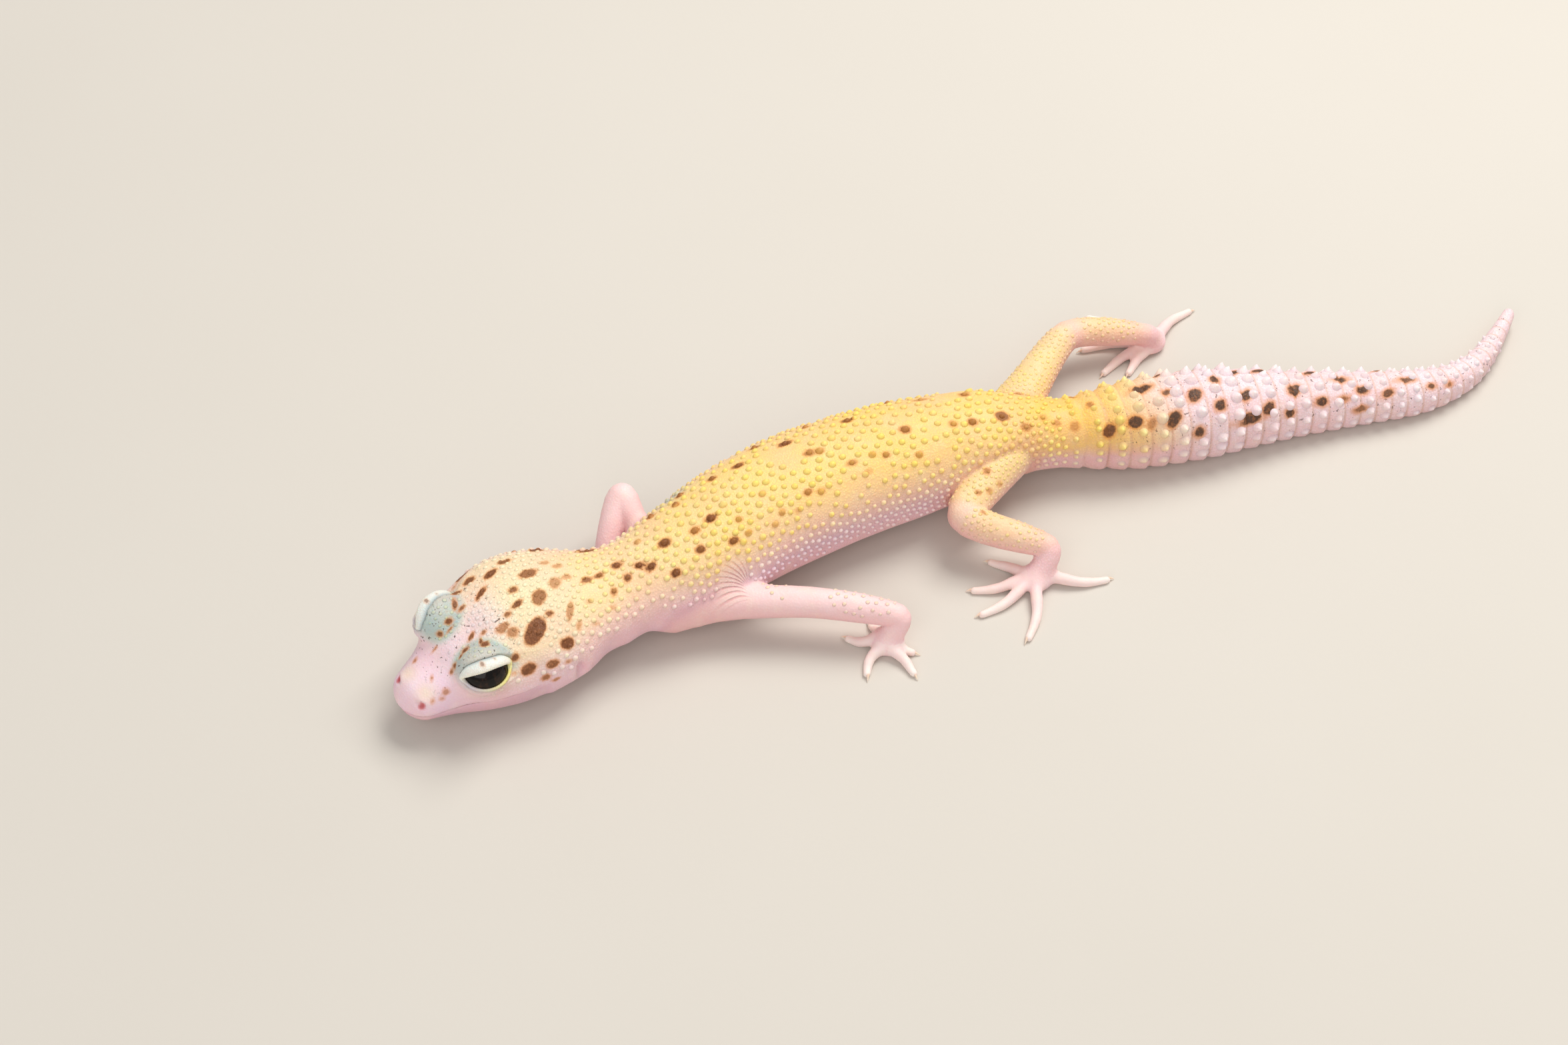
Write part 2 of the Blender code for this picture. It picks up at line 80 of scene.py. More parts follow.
# Distance along the midline, half the width, height of the back, height of the belly.
SECTIONS = [
    (0.0, 3.3, 7.2, 3.2), (2.5, 4.2, 8.5, 2.9), (6.0, 5.6, 10.1, 2.3), (11.0, 8.6, 13.2, 1.8),
    (16.0, 10.6, 14.8, 1.6), (21.0, 11.3, 15.4, 1.7), (26.0, 10.8, 15.0, 2.2), (31.0, 9.0, 14.1, 2.7),
    (36.0, 7.7, 13.7, 2.8), (45.0, 8.7, 15.0, 2.2), (54.0, 9.8, 16.1, 1.4), (66.0, 10.2, 16.6, 1.1),
    (82.0, 9.7, 16.3, 1.2), (92.0, 8.7, 15.4, 1.6), (99.0, 7.4, 14.3, 2.2), (106.0, 6.0, 12.8, 2.2),
    (112.0, 5.2, 11.7, 1.6), (122.0, 6.4, 12.0, 0.2), (131.0, 6.5, 11.6, -0.2), (140.0, 5.6, 10.0, -0.2),
    (149.0, 4.5, 8.1, -0.2), (158.0, 3.8, 6.8, -0.2), (166.0, 3.3, 6.0, -0.2), (174.0, 2.4, 4.8, -0.2),
    (182.0, 1.8, 4.2, 0.2), (193.0, 1.0, 3.6, 1.2),
]
WIDEST_LEVEL = 0.44
BACK_POWER = 2.15
BELLY_POWER = 2.7
SNOUT_ROUNDING = 2.6
TAIL_ROUNDING = 0.9

WHORL_START = 109.0
WHORL_LENGTH = 3.4
WHORL_SHRINK = 0.983
WHORL_DEPTH = 0.78
WHORL_FOOT = 0.60  # a ring's height at its front, against its height at its rear
WHORL_CLIMB = 0.30  # share of a ring over which it rises from the groove in front of it
WHORL_DROP = 0.16  # share over which it drops into the groove behind it
WHORL_FADES = (5, 40)  # length over which the rings come in, and over which they die away

EYE_STATION = 11.0
EYE_OUT = 5.7
EYE_HEIGHT = 10.9
EYE_RADII = (3.0, 3.4, 3.3)  # across the head, along it, and up
EYE_DIVERGENCE = 14
EYE_REACH = 9  # beyond this distance from an eyeball's centre nothing belongs to the eye

# Joint centres of each limb, its radii, and its toes: direction in degrees from +X, length, and bend.
LIMBS = {
    "left_hand": {
        "joints": ((11.5, -22.5, 5.8), (19.8, -5.5, 6.3), (26.8, 5.5, 5.3), (27.5, 3.6, 1.2)),
        "radii": (4.4, 2.6, 2.35, 2.25, 1.85, 1.8),
        "toes": ((188, 3.9, 0), (237, 5.7, -30), (304, 6.3, 46), (11, 6.5, -6), (42, 4.0, 6)),
    },
    "right_hand": {
        "joints": ((2.0, -22.5, 5.0), (-7.4, -22.9, 9.2), (-1.2, -28.9, 3.4), (-1.6, -31.0, 1.2)),
        "radii": (2.9, 1.9, 2.3, 2.1, 1.6, 1.7),
        "toes": ((350, 3.9, 0), (302, 5.8, 16), (268, 6.6, -10), (228, 6.6, -18), (172, 4.6, -14)),
    },
    "left_foot": {
        "joints": ((5.5, 37.0, 7.6), (15.4, 22.3, 7.0), (24.2, 31.4, 4.8), (26.2, 29.0, 1.2)),
        "radii": (4.4, 3.6, 2.7, 2.5, 1.9, 1.9),
        "toes": ((218, 7.4, 0), (258, 9.6, -20), (284, 10.6, -24), (327, 11.0, -26), (64, 10.4, 26)),
    },
    "right_foot": {
        "joints": ((0.5, 38.0, 7.4), (-10.8, 53.6, 6.6), (-8.2, 66.0, 4.0), (-8.6, 68.0, 1.2)),
        "radii": (4.2, 3.0, 2.4, 2.3, 1.75, 1.9),
        "toes": ((303, 7.4, 0), (283, 10.0, 14), (251, 10.8, 16), (213, 11.0, 22), (113, 9.8, -24)),
    },
}
JOINT_ROUNDING = 0.62
BONE_POINTS = 19
BOX_MARGIN = 0.6
PAD_RADII = (2.1, 2.1, 1.35)
PAD_SINK = 0.05
PAD_SCALE = 1.7  # turns a share of the pad's radii into millimetres
PAD_BLEND = 1.1
TOE_START = 0.1  # share of a toe that lies inside the pad
TOE_POINTS = 10
TOE_RADIUS = 1.02
TOE_TIP_RADIUS = 0.54
KNUCKLES = [(0.06, 0.42, 0.09), (0.05, 0.72, 0.07)]  # rise, place along a toe, and reach
TOE_REST = 0.40  # of a toe tip's middle over the floor
TOE_ARCH = 0.75
TOE_SWAY = 0.45  # of the gentle S along a toe
ROOT_BLEND = 2.4  # how widely a limb's root melts into the trunk
THIGH_BLEND = 1.5
THIGH_CREASE = 0.34
LIMB_SKIN_DEPTH = 0.08
TOE_BLEND = 0.7

SIDES = {"left": 1, "right": -1}

# The edge of the eyelids and their outer edge on the eyeball, as (ahead, up) in millimetres of its surface
# from its outermost point: from the front corner over the top to the rear corner and back below.
LID_MARGIN = [
    (4.1, 1.6), (2.7, 2.5), (0.9, 2.9), (-1.0, 2.9), (-2.7, 2.4), (-3.7, 1.5), (-3.0, 0.6), (-1.3, 0.15),
    (0.7, 0.15), (2.3, 0.5), (3.4, 1.0),
]
LID_EDGE = [
    (5.0, 1.8), (3.7, 3.9), (1.2, 4.8), (-1.0, 4.7), (-3.2, 4.0), (-4.6, 2.0), (-3.8, 0.1), (-1.6, -0.5),
    (0.7, -0.5), (2.8, -0.1), (4.3, 0.7),
]
MOUTH_LINE = [(0.0, 5.0), (3.0, 5.3), (6.0, 5.8), (10.0, 6.7), (14.0, 7.5), (17.0, 8.0), (20.0, 8.5)]
EAR = (26.2, 10.1, 7.6)  # distance along, out and up

# Dark spots: distance along, angle round, half length, half width, the way it runs (degrees from along the
# body), and how dark it is.
SPOTS = [
    (5.5, 46, 0.5, 0.35, 20, 0.55), (3.5, 42, 0.3, 0.2, 60, 0.5), (4.7, 38, 0.3, 0.2, 0, 0.5),
    (5, 78, 0.28, 0.15, 40, 0.6), (5, 124, 0.3, 0.2, 0, 0.6), (7.5, 106, 0.4, 0.14, 0, 0.6),
    (8.3, 68, 0.42, 0.36, 30, 0.8), (7.5, 66, 0.3, 0.26, 0, 0.7), (10.3, 74, 0.52, 0.46, 0, 0.95),
    (9.6, 68, 0.32, 0.28, 0, 0.8),
    (12.2, 63, 0.66, 0.56, 30, 0.95), (12.5, 73, 0.6, 0.22, 60, 0.9), (12, 85, 0.6, 0.28, 20, 0.8),
    (13.5, 80, 0.3, 0.22, 0, 0.7), (9.5, 113, 0.4, 0.35, 0, 0.8), (11, 116, 0.5, 0.4, 0, 0.9),
    (12.5, 121, 0.9, 0.35, 50, 0.85), (10.5, 104, 0.55, 0.17, 20, 0.8), (13.5, 110, 0.5, 0.25, 10, 0.9),
    (14.7, 127, 0.7, 0.45, 0, 0.85), (14, 34, 0.3, 0.2, 0, 0.5), (15, 46, 0.55, 0.45, 30, 0.85),
    (16, 31, 1.1, 0.8, 10, 1.0), (16, 73, 0.95, 0.6, 0, 0.6), (16.7, 66, 0.8, 0.7, 40, 0.6),
    (17, 109, 1.2, 0.45, 20, 0.9), (17.3, 129, 0.85, 0.7, 0, 0.85), (17.8, 80, 0.45, 0.35, 0, 0.75),
    (18, 14, 0.6, 0.45, 0, 0.7), (19.5, 120, 1.2, 0.6, 15, 0.95), (20, 84, 0.9, 0.48, 15, 0.9),
    (20.6, 96, 0.65, 0.42, 0, 0.8), (20.5, 58, 2.2, 1.25, 40, 1.0), (21.5, 127, 0.95, 0.42, 0, 0.8),
    (22, 26, 0.85, 0.6, 0, 0.8), (22, 6, 0.45, 0.2, 0, 0.6), (23.5, 83, 1.35, 0.95, 60, 0.7),
    (23.5, 106, 1.3, 0.75, 10, 0.75), (24, 67, 0.5, 0.42, 0, 0.8), (25, 39, 0.95, 0.85, 0, 1.0),
    (24.5, 21, 0.4, 0.25, 0, 0.55), (26.5, 91, 0.9, 0.7, 50, 0.55), (26.5, 114, 0.5, 0.35, 0, 0.5),
    (27, 64, 1.4, 0.45, 60, 0.55), (27.5, 49, 0.6, 0.33, 60, 0.5), (28, 108, 0.6, 0.4, 0, 0.5),
    (28.5, 94, 0.6, 0.4, 0, 0.5), (30, 65, 0.38, 0.27, 0, 0.45), (30, 42, 0.4, 0.2, 0, 0.4),
    (31, 86, 0.8, 0.5, 10, 0.75), (33, 87, 0.7, 0.48, 10, 0.75), (33, 48, 0.32, 0.25, 0, 0.5),
    (33.5, 133, 1.6, 0.5, 0, 0.8), (34, 64, 0.7, 0.45, 60, 0.65), (36, 92, 0.85, 0.58, 10, 0.9),
    (36.5, 72, 0.75, 0.55, 60, 0.8), (38.7, 80, 0.75, 0.6, 0, 0.95), (40, 72, 0.9, 0.6, 20, 0.95),
    (40.5, 108, 0.5, 0.4, 0, 0.5), (42.5, 53, 0.75, 0.6, 0, 0.95), (43.5, 88, 1.0, 0.75, 0, 0.9),
    (45, 130, 0.7, 0.5, 0, 0.7), (47, 62, 0.75, 0.6, 0, 0.8), (48, 82, 0.75, 0.6, 0, 0.65),
    (49, 121, 0.55, 0.45, 0, 0.7), (51, 131, 0.65, 0.5, 0, 0.75), (51, 83, 0.95, 0.7, 0, 0.9),
    (51.5, 53, 0.7, 0.55, 0, 0.8), (54, 52, 0.5, 0.35, 0, 0.5), (54, 67, 0.55, 0.42, 0, 0.5),
    (56, 120, 0.7, 0.5, 0, 0.75), (58.5, 46, 0.5, 0.35, 0, 0.45), (59.5, 75, 0.55, 0.4, 0, 0.35),
    (60, 115, 1.0, 0.55, 0, 0.8), (60.5, 52, 0.5, 0.4, 0, 0.5), (63, 47, 0.4, 0.3, 0, 0.4),
    (64, 131, 0.8, 0.5, 0, 0.7), (66, 58, 0.7, 0.45, 0, 0.6), (67.5, 114, 1.1, 0.6, 0, 0.85),
    (68, 54, 0.55, 0.45, 0, 0.45), (69.5, 92, 0.8, 0.65, 0, 0.6), (71, 90, 0.8, 0.55, 0, 0.5),
    (72, 131, 0.6, 0.4, 0, 0.6), (74.5, 68, 0.75, 0.5, 0, 0.55), (76.5, 56, 0.45, 0.3, 0, 0.4),
    (77.5, 116, 0.9, 0.55, 0, 0.75), (78, 69, 0.5, 0.35, 0, 0.45), (80, 65, 0.65, 0.45, 0, 0.55),
    (84.5, 84, 0.8, 0.7, 0, 0.65), (85, 56, 0.6, 0.4, 0, 0.5), (85, 137, 0.7, 0.45, 0, 0.6),
    (89.5, 125, 1.2, 0.5, 0, 0.5), (92, 78, 0.7, 0.6, 0, 0.5), (95, 76, 0.8, 0.68, 0, 0.65),
    (96, 122, 0.8, 0.6, 0, 0.6), (100, 78, 1.05, 0.9, 0, 0.75), (103.5, 60, 0.75, 0.65, 0, 0.55),
    (104, 132, 0.8, 0.55, 0, 0.5), (106.5, 74, 0.6, 0.45, 0, 0.45), (108.5, 64, 0.6, 0.48, 0, 0.5),
    (111, 57, 0.7, 0.65, 0, 0.5), (112, 125, 0.6, 0.45, 0, 0.6), (114, 89, 0.55, 0.5, 0, 0.6),
    (116, 44, 1.1, 0.8, 60, 0.9), (120, 52, 1.1, 0.9, 0, 1.0), (122, 99, 1.0, 0.75, 30, 0.95),
    (122.5, 47, 0.8, 0.55, 60, 0.55), (126, 48, 1.35, 0.85, 50, 1.0), (126, 86, 0.65, 0.55, 0, 0.8),
    (126.5, 130, 0.9, 0.6, 0, 0.85), (129.7, 27, 0.9, 0.7, 60, 0.9), (130, 75, 1.25, 0.95, 45, 1.0),
    (131, 138, 1.0, 0.7, 0, 0.95), (133.5, 57, 0.95, 0.8, 40, 1.0), (134, 97, 0.85, 0.7, 40, 1.0),
    (137.5, 33, 0.95, 0.8, 40, 0.95), (138.3, 68, 1.0, 0.7, 40, 1.0), (138, 118, 0.8, 0.6, 0, 1.0),
    (141.5, 45, 1.1, 0.75, 60, 1.0), (142, 120, 0.95, 0.7, 0, 1.0), (145, 34, 0.75, 0.65, 0, 0.9),
    (146.5, 73, 1.05, 0.8, 40, 1.0), (150.5, 48, 0.9, 0.7, 0, 0.95), (150, 118, 0.8, 0.6, 0, 0.9),
    (154, 94, 0.75, 0.65, 0, 1.0), (154, 50, 0.55, 0.4, 0, 0.7), (157.5, 65, 0.85, 0.6, 0, 0.9),
    (157, 25, 0.8, 0.5, 0, 0.7), (161.5, 54, 1.0, 0.55, 20, 0.8), (161, 127, 0.6, 0.4, 0, 0.85),
    (164.5, 84, 0.7, 0.45, 0, 0.8), (168.5, 57, 0.6, 0.4, 0, 0.8), (171.5, 48, 0.5, 0.35, 0, 0.7),
]
# Spots on the left thigh and knee: where each lies, its half size, and how dark it is.
LEG_SPOTS = [
    (11.8, 27.6, 10.6, 0.50, 0.60), (13.8, 28.8, 9.3, 0.40, 0.45), (14.4, 26.7, 9.5, 0.42, 0.50),
    (14.4, 24.8, 10.0, 0.36, 0.65), (17.5, 24.1, 9.1, 0.34, 0.55),
]
# Spots lower than this angle on the left side, behind the eyes, are repeated a little further back on the
# right side.
MIRRORED_BELOW = 42
MIRRORED_AFTER = 9
MIRROR_SHIFT = 1.6
SPOT_REACH = 4.0

# Swellings and hollows of the skin: distance along, out to either side, height, how far the bump reaches
# along, across and up, and how far it stands out (less than nothing is a hollow).
RELIEF = [
    (5.5, 3.9, 9.4, 4.0, 1.1, 1.1, 0.30), (6.0, 0.0, 10.2, 3.2, 1.7, 1.6, -0.40),
    (12.0, 0.0, 13.4, 4.0, 2.2, 1.8, -0.55), (8.0, 6.6, 6.6, 3.0, 1.6, 1.2, -0.25),
    (19.0, 8.0, 12.6, 3.4, 2.4, 2.2, 0.35), (21.0, 10.6, 6.6, 3.6, 2.6, 2.4, 0.25),
    (21.0, 0.0, 15.0, 3.6, 1.6, 2.0, -0.30), (1.7, 2.7, 7.6, 1.1, 0.9, 0.7, 0.28),
    (1.9, 2.9, 7.2, 0.42, 0.9, 0.36, -1.0), (26.2, 10.6, 7.7, 0.65, 2.5, 1.25, -1.30),
    (27.6, 10.2, 7.6, 0.6, 2.2, 1.7, 0.25), (25.0, 11.0, 7.8, 0.6, 2.2, 1.6, 0.22),
    (31.5, 8.8, 6.4, 1.8, 2.4, 3.0, -0.55), (34.5, 8.2, 6.0, 1.2, 2.2, 3.0, 0.25),
    (37.5, 7.8, 6.2, 1.2, 2.2, 3.2, -0.30), (44.0, 5.6, 13.6, 4.2, 2.6, 1.8, 0.35),
    (49.0, 0.0, 15.6, 4.0, 1.6, 1.5, -0.20), (97.0, 5.4, 12.4, 4.2, 2.4, 2.0, 0.40),
    (86.0, 9.4, 5.2, 9.0, 2.0, 1.0, 0.30), (64.0, 10.0, 5.0, 12.0, 2.0, 1.0, 0.25),
    (105.0, 5.8, 5.4, 3.0, 1.8, 2.0, -0.35),
]
MOUTH_DEPTH = 0.45
MOUTH_WIDTH = 0.24
LIP_SWELL = 0.14
JAW_STEP = 0.16  # how far the lower jaw is set in from the upper lip
ARMPIT = (50.8, 8.1)  # distance along and height of the point that its fan of creases spreads from
ARMPIT_REACH = 4.3
ARMPIT_TURN = 0.10
ARMPIT_CREASES = 5.0  # in a radian
BROW_HEIGHT = 0.72  # of the skin over the top of an eyeball
BROW_DROP = 0.6  # how much less of it there is below the eye
BROW_BLEND = 1.6
LID_ROLL = 0.16  # of the groove round the lids
LID_BED = 0.45  # how far the hollow under the lids goes into the eyeball
FLOOR_GAP = 0.03

GRID_STEP = 0.5
FAR = 1e9
SKIN_DEPTH = [(0, 0.10), (20, 0.14), (30, 0.24), (45, 0.36), (100, 0.36), (118, 0.30), (193, 0.12)]


# ---------------------------------------------------------------- curves


def hermite(u, start, leaving, end, arriving):
    """A cubic from start to end as u runs from 0 to 1, with the slopes leaving and arriving at its ends."""
    first = (1 + 2 * u) * (1 - u) ** 2 * start + u * (1 - u) ** 2 * leaving
    return first + u * u * (3 - 2 * u) * end + u * u * (u - 1) * arriving


def eased(rows, at):
    """A smooth curve through the rows' values that never overshoots: a cubic between each two rows, whose
    slope at a row is the harmonic mean of the slopes beside it, or nothing at a peak."""
    keys, values = np.array(rows, float).T
    slopes = np.diff(values) / np.diff(keys)
    before, after = slopes[:-1], slopes[1:]
    same_way = before * after > 0
    mean = 2 * before * after / np.where(same_way, before + after, 1)
    ends = np.concatenate([[slopes[0]], np.where(same_way, mean, 0), [slopes[-1]]])
    at = np.clip(at, keys[0], keys[-1])
    i = np.clip(np.searchsorted(keys, at, side="right") - 1, 0, len(keys) - 2)
    width = keys[i + 1] - keys[i]
    return hermite((at - keys[i]) / width, values[i], width * ends[i], values[i + 1], width * ends[i + 1])


FINE = np.linspace(0, TAIL_TIP, 1537)
HEADING = np.radians(eased(COURSE, FINE))
STEPS = np.diff(FINE, prepend=0)
MIDLINE_X = SNOUT_TIP[0] + np.cumsum(np.sin(HEADING) * STEPS)
MIDLINE_Y = SNOUT_TIP[1] + np.cumsum(np.cos(HEADING) * STEPS)
OUTLINE = [eased([(row[0], row[k]) for row in SECTIONS], FINE) for k in (1, 2, 3)]
ROLL_ALONG = np.radians(eased(ROLL, FINE))
DEPTH_ALONG = eased(SKIN_DEPTH, FINE)
MARKS = np.arange(-6, TAIL_TIP + 6, 1.5)


def ramp(low, high, value):
    """0 below low, 1 above high, and a smooth climb between them; low may be the greater one."""
    u = np.clip((value - low) / (high - low), 0, 1)
    return u * u * (3 - 2 * u)


def by_table(rows, at):
    """The values at places between the rows of a table, each a place and its value."""
    return np.interp(at, *np.array(rows, float).T)


def unit(rows):
    """Rows drawn to length 1."""
    return rows / np.maximum(np.linalg.norm(rows, axis=-1, keepdims=True), 1e-6)


def round_circle(count):
    """The angles of that many points spaced evenly round a circle."""
    return np.arange(count) * 2 * math.pi / count


def bell(value, middle, reach):
    """1 at the middle, and 1/e of that at reach on either side of it."""
    return np.exp(-(((value - middle) / reach) ** 2))


def smooth_min(a, b, width):
    """The lesser of two fields, rounded by a parabola where they are nearer than width to each other."""
    near = np.maximum(width - np.abs(a - b), 0) / width
    return np.minimum(a, b) - near * near * width / 4


def smooth_max(a, b, width):
    """The greater of two fields, rounded in the same way."""
    return -smooth_min(-a, -b, width)


def midline(s):
    """Place on the floor under the midline and the unit vector to the animal's left. Past either end the
    line runs straight on."""
    inside = np.clip(s, 0, TAIL_TIP)
    heading = np.interp(inside, FINE, HEADING)
    ahead, aside = np.cos(heading), np.sin(heading)
    x = np.interp(inside, FINE, MIDLINE_X) + (s - inside) * aside
    y = np.interp(inside, FINE, MIDLINE_Y) + (s - inside) * ahead
    return x, y, ahead, -aside


def body_points(s, out, height):
    """Points at distance s along the midline, out to its left, at a height over the floor, once rolled."""
    s, out, height = np.broadcast_arrays(np.asarray(s, float), out, height)
    x, y, left_x, left_y = midline(s)
    roll = np.interp(s, FINE, ROLL_ALONG)
    over = height - ROLL_PIVOT
    aside = out * np.cos(roll) + over * np.sin(roll)
    up = ROLL_PIVOT + over * np.cos(roll) - out * np.sin(roll)
    return np.stack([x + aside * left_x, y + aside * left_y, up], axis=-1)


def along_body(x, y, guess=None):
    """Distance along the midline of the places (x, y): the nearest coarse mark, then steps by what is left
    of the way along the midline's own direction."""
    if guess is None:
        mark_x, mark_y, _, _ = midline(MARKS)
        guess = MARKS[np.argmin((x[:, None] - mark_x) ** 2 + (y[:, None] - mark_y) ** 2, axis=1)]
    s = guess
    for _ in range(6):
        mid_x, mid_y, left_x, left_y = midline(s)
        s = s - (x - mid_x) * left_y + (y - mid_y) * left_x
    return s


def off_midline(s, x, y, z):
    """How far out to the left and how high the points lie, with the body's roll undone."""
    mid_x, mid_y, left_x, left_y = midline(s)
    aside = (x - mid_x) * left_x + (y - mid_y) * left_y
    roll = np.interp(s, FINE, ROLL_ALONG)
    over = z - ROLL_PIVOT
    return aside * np.cos(roll) - over * np.sin(roll), ROLL_PIVOT + over * np.cos(roll) + aside * np.sin(roll)


def section_at(s):
    """Half the section's width, the height of its back and its belly, and of where it is widest."""
    half, back, belly = (np.interp(s, FINE, row) for row in OUTLINE)
    return half, back, belly, belly + WIDEST_LEVEL * (back - belly)


def angle_round(s, out, height):
    """Degrees round the section: 0 at its left side, 90 on its back, 180 at its right side, less under it."""
    half, back, belly, level = section_at(s)
    over = height - level
    up = np.where(over >= 0, back - level, level - belly)
    angle = np.degrees(np.arctan2(over / up, out / half))
    return np.where(angle < -90, angle + 360, angle)


def ring_starts():
    """Where the tail's rings begin: each is WHORL_SHRINK times as long as the one before it, and together
    they stop within a millimetre of the tail's tip."""
    shrink = 1 - WHORL_SHRINK
    room = (TAIL_TIP - 1 - WHORL_START) * shrink / WHORL_LENGTH
    count = int(math.log(1 - room) / math.log(WHORL_SHRINK))
    return WHORL_START + WHORL_LENGTH * (1 - WHORL_SHRINK ** np.arange(count + 1)) / shrink


RING_STARTS = ring_starts()


def ring_number(s):
    """Which ring of the tail a place is in, and how far through it as the fraction."""
    return np.interp(s, RING_STARTS, np.arange(len(RING_STARTS)), left=0)


def ring_swell(s):
    """A ring climbs to its rear edge and drops there; the rings fade out at both ends of the tail."""
    u = ring_number(s) % 1
    rounding = np.sqrt(np.minimum(u / WHORL_CLIMB, 1) * np.minimum((1 - u) / WHORL_DROP, 1))
    climb = (WHORL_FOOT + (1 - WHORL_FOOT) * u) * rounding
    begins, ends = WHORL_FADES
    fade = np.clip((s - WHORL_START) / begins, 0, 1) * np.clip((TAIL_TIP - s) / ends, 0, 1)
    return WHORL_DEPTH * climb * fade


# ---------------------------------------------------------------- the eyes' own frames


class EyeFrame:
    """One eye's centre, its axes and the chart of its surface: (ahead, up) in millimetres of arc from the
    eyeball's outermost point, with the same distance in every direction."""

    def __init__(self, side):
        turn = math.radians(-COURSE[0][1] - side * EYE_DIVERGENCE)
        self.side = side
        self.centre = body_points(EYE_STATION, side * EYE_OUT, EYE_HEIGHT)
        self.axes = np.array([
            [side * math.cos(turn), side * math.sin(turn), 0],
            [math.sin(turn), -math.cos(turn), 0],
            [0, 0, 1],
        ])
        self.radii = np.array(EYE_RADII, float)
        self.arc = float(self.radii.mean())

    def chart(self, points):
        """Ahead, up, and height over the eyeball's surface."""
        scaled = (points - self.centre) @ self.axes.T / self.radii
        size = np.maximum(np.linalg.norm(scaled, axis=-1), 1e-6)
        outward = scaled[..., 0] / size
        flat = np.maximum(np.hypot(scaled[..., 1], scaled[..., 2]), 1e-9)
        arc = self.arc * np.arccos(np.clip(outward, -1, 1)) / flat
        return scaled[..., 1] * arc, scaled[..., 2] * arc, (size - 1) * self.arc

    def points(self, ahead, up, over):
        """The reverse of chart: places at a height over the eyeball's surface."""
        arc = np.maximum(np.hypot(ahead, up), 1e-9)
        angle = arc / self.arc
        way = np.stack([np.cos(angle), np.sin(angle) * ahead / arc, np.sin(angle) * up / arc], axis=-1)
        return self.centre + (way * (self.radii + np.asarray(over)[..., None])) @ self.axes


EYES = {word: EyeFrame(side) for word, side in SIDES.items()}


def loop_through(corners, count):
    """A closed smooth curve through the corners: between two of them a cubic whose slopes are half the way
    from the corner before to the corner after."""
    p = np.array(corners, float)
    slope = (np.roll(p, -1, axis=0) - np.roll(p, 1, axis=0)) / 2
    at = np.arange(count) * len(p) / count
    i = at.astype(int)
    k = (i + 1) % len(p)
    return hermite((at - i)[:, None], p[i], slope[i], p[k], slope[k])


def outside_loop(x, y, loop):
    """Distance to a closed loop of straight pieces, less than nothing inside it. A place is inside where
    the loop's pieces, seen from it, turn through a whole circle."""
    nearest = np.full(x.shape, FAR)
    turn = np.zeros(x.shape)
    for (ax, ay), (bx, by) in zip(loop, np.roll(loop, -1, axis=0)):
        ex, ey, px, py = bx - ax, by - ay, x - ax, y - ay
        u = np.clip((px * ex + py * ey) / (ex * ex + ey * ey), 0, 1)
        nearest = np.minimum(nearest, np.hypot(px - u * ex, py - u * ey))
        qx, qy = x - bx, y - by
        turn += np.arctan2(px * qy - py * qx, px * qx + py * qy)
    return np.where(np.abs(turn) > math.pi, -nearest, nearest)


LID_EDGE_LOOP = loop_through(LID_EDGE, 44)


# ---------------------------------------------------------------- limbs


def bent_path(joints, at):
    """A curve through the joints: a cubic along each bone, whose tangent at a joint lies along the line
    between its neighbours, shortened so that the bones stay nearly straight."""
    p = np.array(joints, float)
    slope = np.gradient(p, axis=0) * JOINT_ROUNDING
    i = np.clip(at.astype(int), 0, len(p) - 2)
    return hermite((at - i)[:, None], p[i], slope[i], p[i + 1], slope[i + 1])


def toe_path(pad, heading, length, bend, count=TOE_POINTS):
    """A toe's middle line from the pad's centre: up over its first joint, then down to the floor. It starts
    along its heading less half the bend, ends along its heading plus half of it, and sways between."""
    u = np.linspace(TOE_START, 1, count)
    turn = np.radians(heading - bend / 2 + bend * u)
    step = np.diff(u, prepend=0)[:, None] * length
    flat = np.cumsum(np.stack([np.cos(turn), np.sin(turn)], axis=1) * step, axis=0)
    sway = TOE_SWAY * np.sin(2 * math.pi * u) * (1 - u) * math.copysign(1, bend)
    flat += np.stack([-np.sin(turn), np.cos(turn)], axis=1) * sway[:, None]
    height = TOE_REST + (pad[2] - TOE_REST) * (1 - u) ** 2 + TOE_ARCH * np.sin(math.pi * u) * (1 - u)
    return np.column_stack([pad[0] + flat[:, 0], pad[1] + flat[:, 1], height])


def toe_radii():
    """Thinner towards the tip, with two soft knuckles."""
    u = np.linspace(TOE_START, 1, TOE_POINTS)
    knuckles = sum(rise * bell(u, at, reach) for rise, at, reach in KNUCKLES)
    return TOE_RADIUS + (TOE_TIP_RADIUS - TOE_RADIUS) * u + knuckles


class Limb:
    """One limb's middle line with its radii, its pad and its toes, and the box that they reach."""

    def __init__(self, number, name, joints, radii, toes):
        self.number = number
        self.name = name
        self.hind = name.endswith("foot")
        self.pad = np.array(joints[3], float)
        self.at = np.linspace(0, 3, BONE_POINTS)
        self.bone = bent_path(joints, self.at)
        self.bone_radii = eased(list(zip((0, 0.5, 1, 1.5, 2, 3), radii)), self.at)
        self.toes = [toe_path(self.pad, *toe) for toe in toes]
        everything = np.vstack([self.bone, *self.toes])
        reach = max(radii) + ROOT_BLEND + BOX_MARGIN
        self.low = everything.min(axis=0) - reach
        self.high = everything.max(axis=0) + reach

    def near(self, points):
        """Which of the points lie in the limb's box."""
        return np.flatnonzero(((points > self.low) & (points < self.high)).all(axis=1))


LIMB_LIST = [Limb(i, name, **limb) for i, (name, limb) in enumerate(LIMBS.items())]


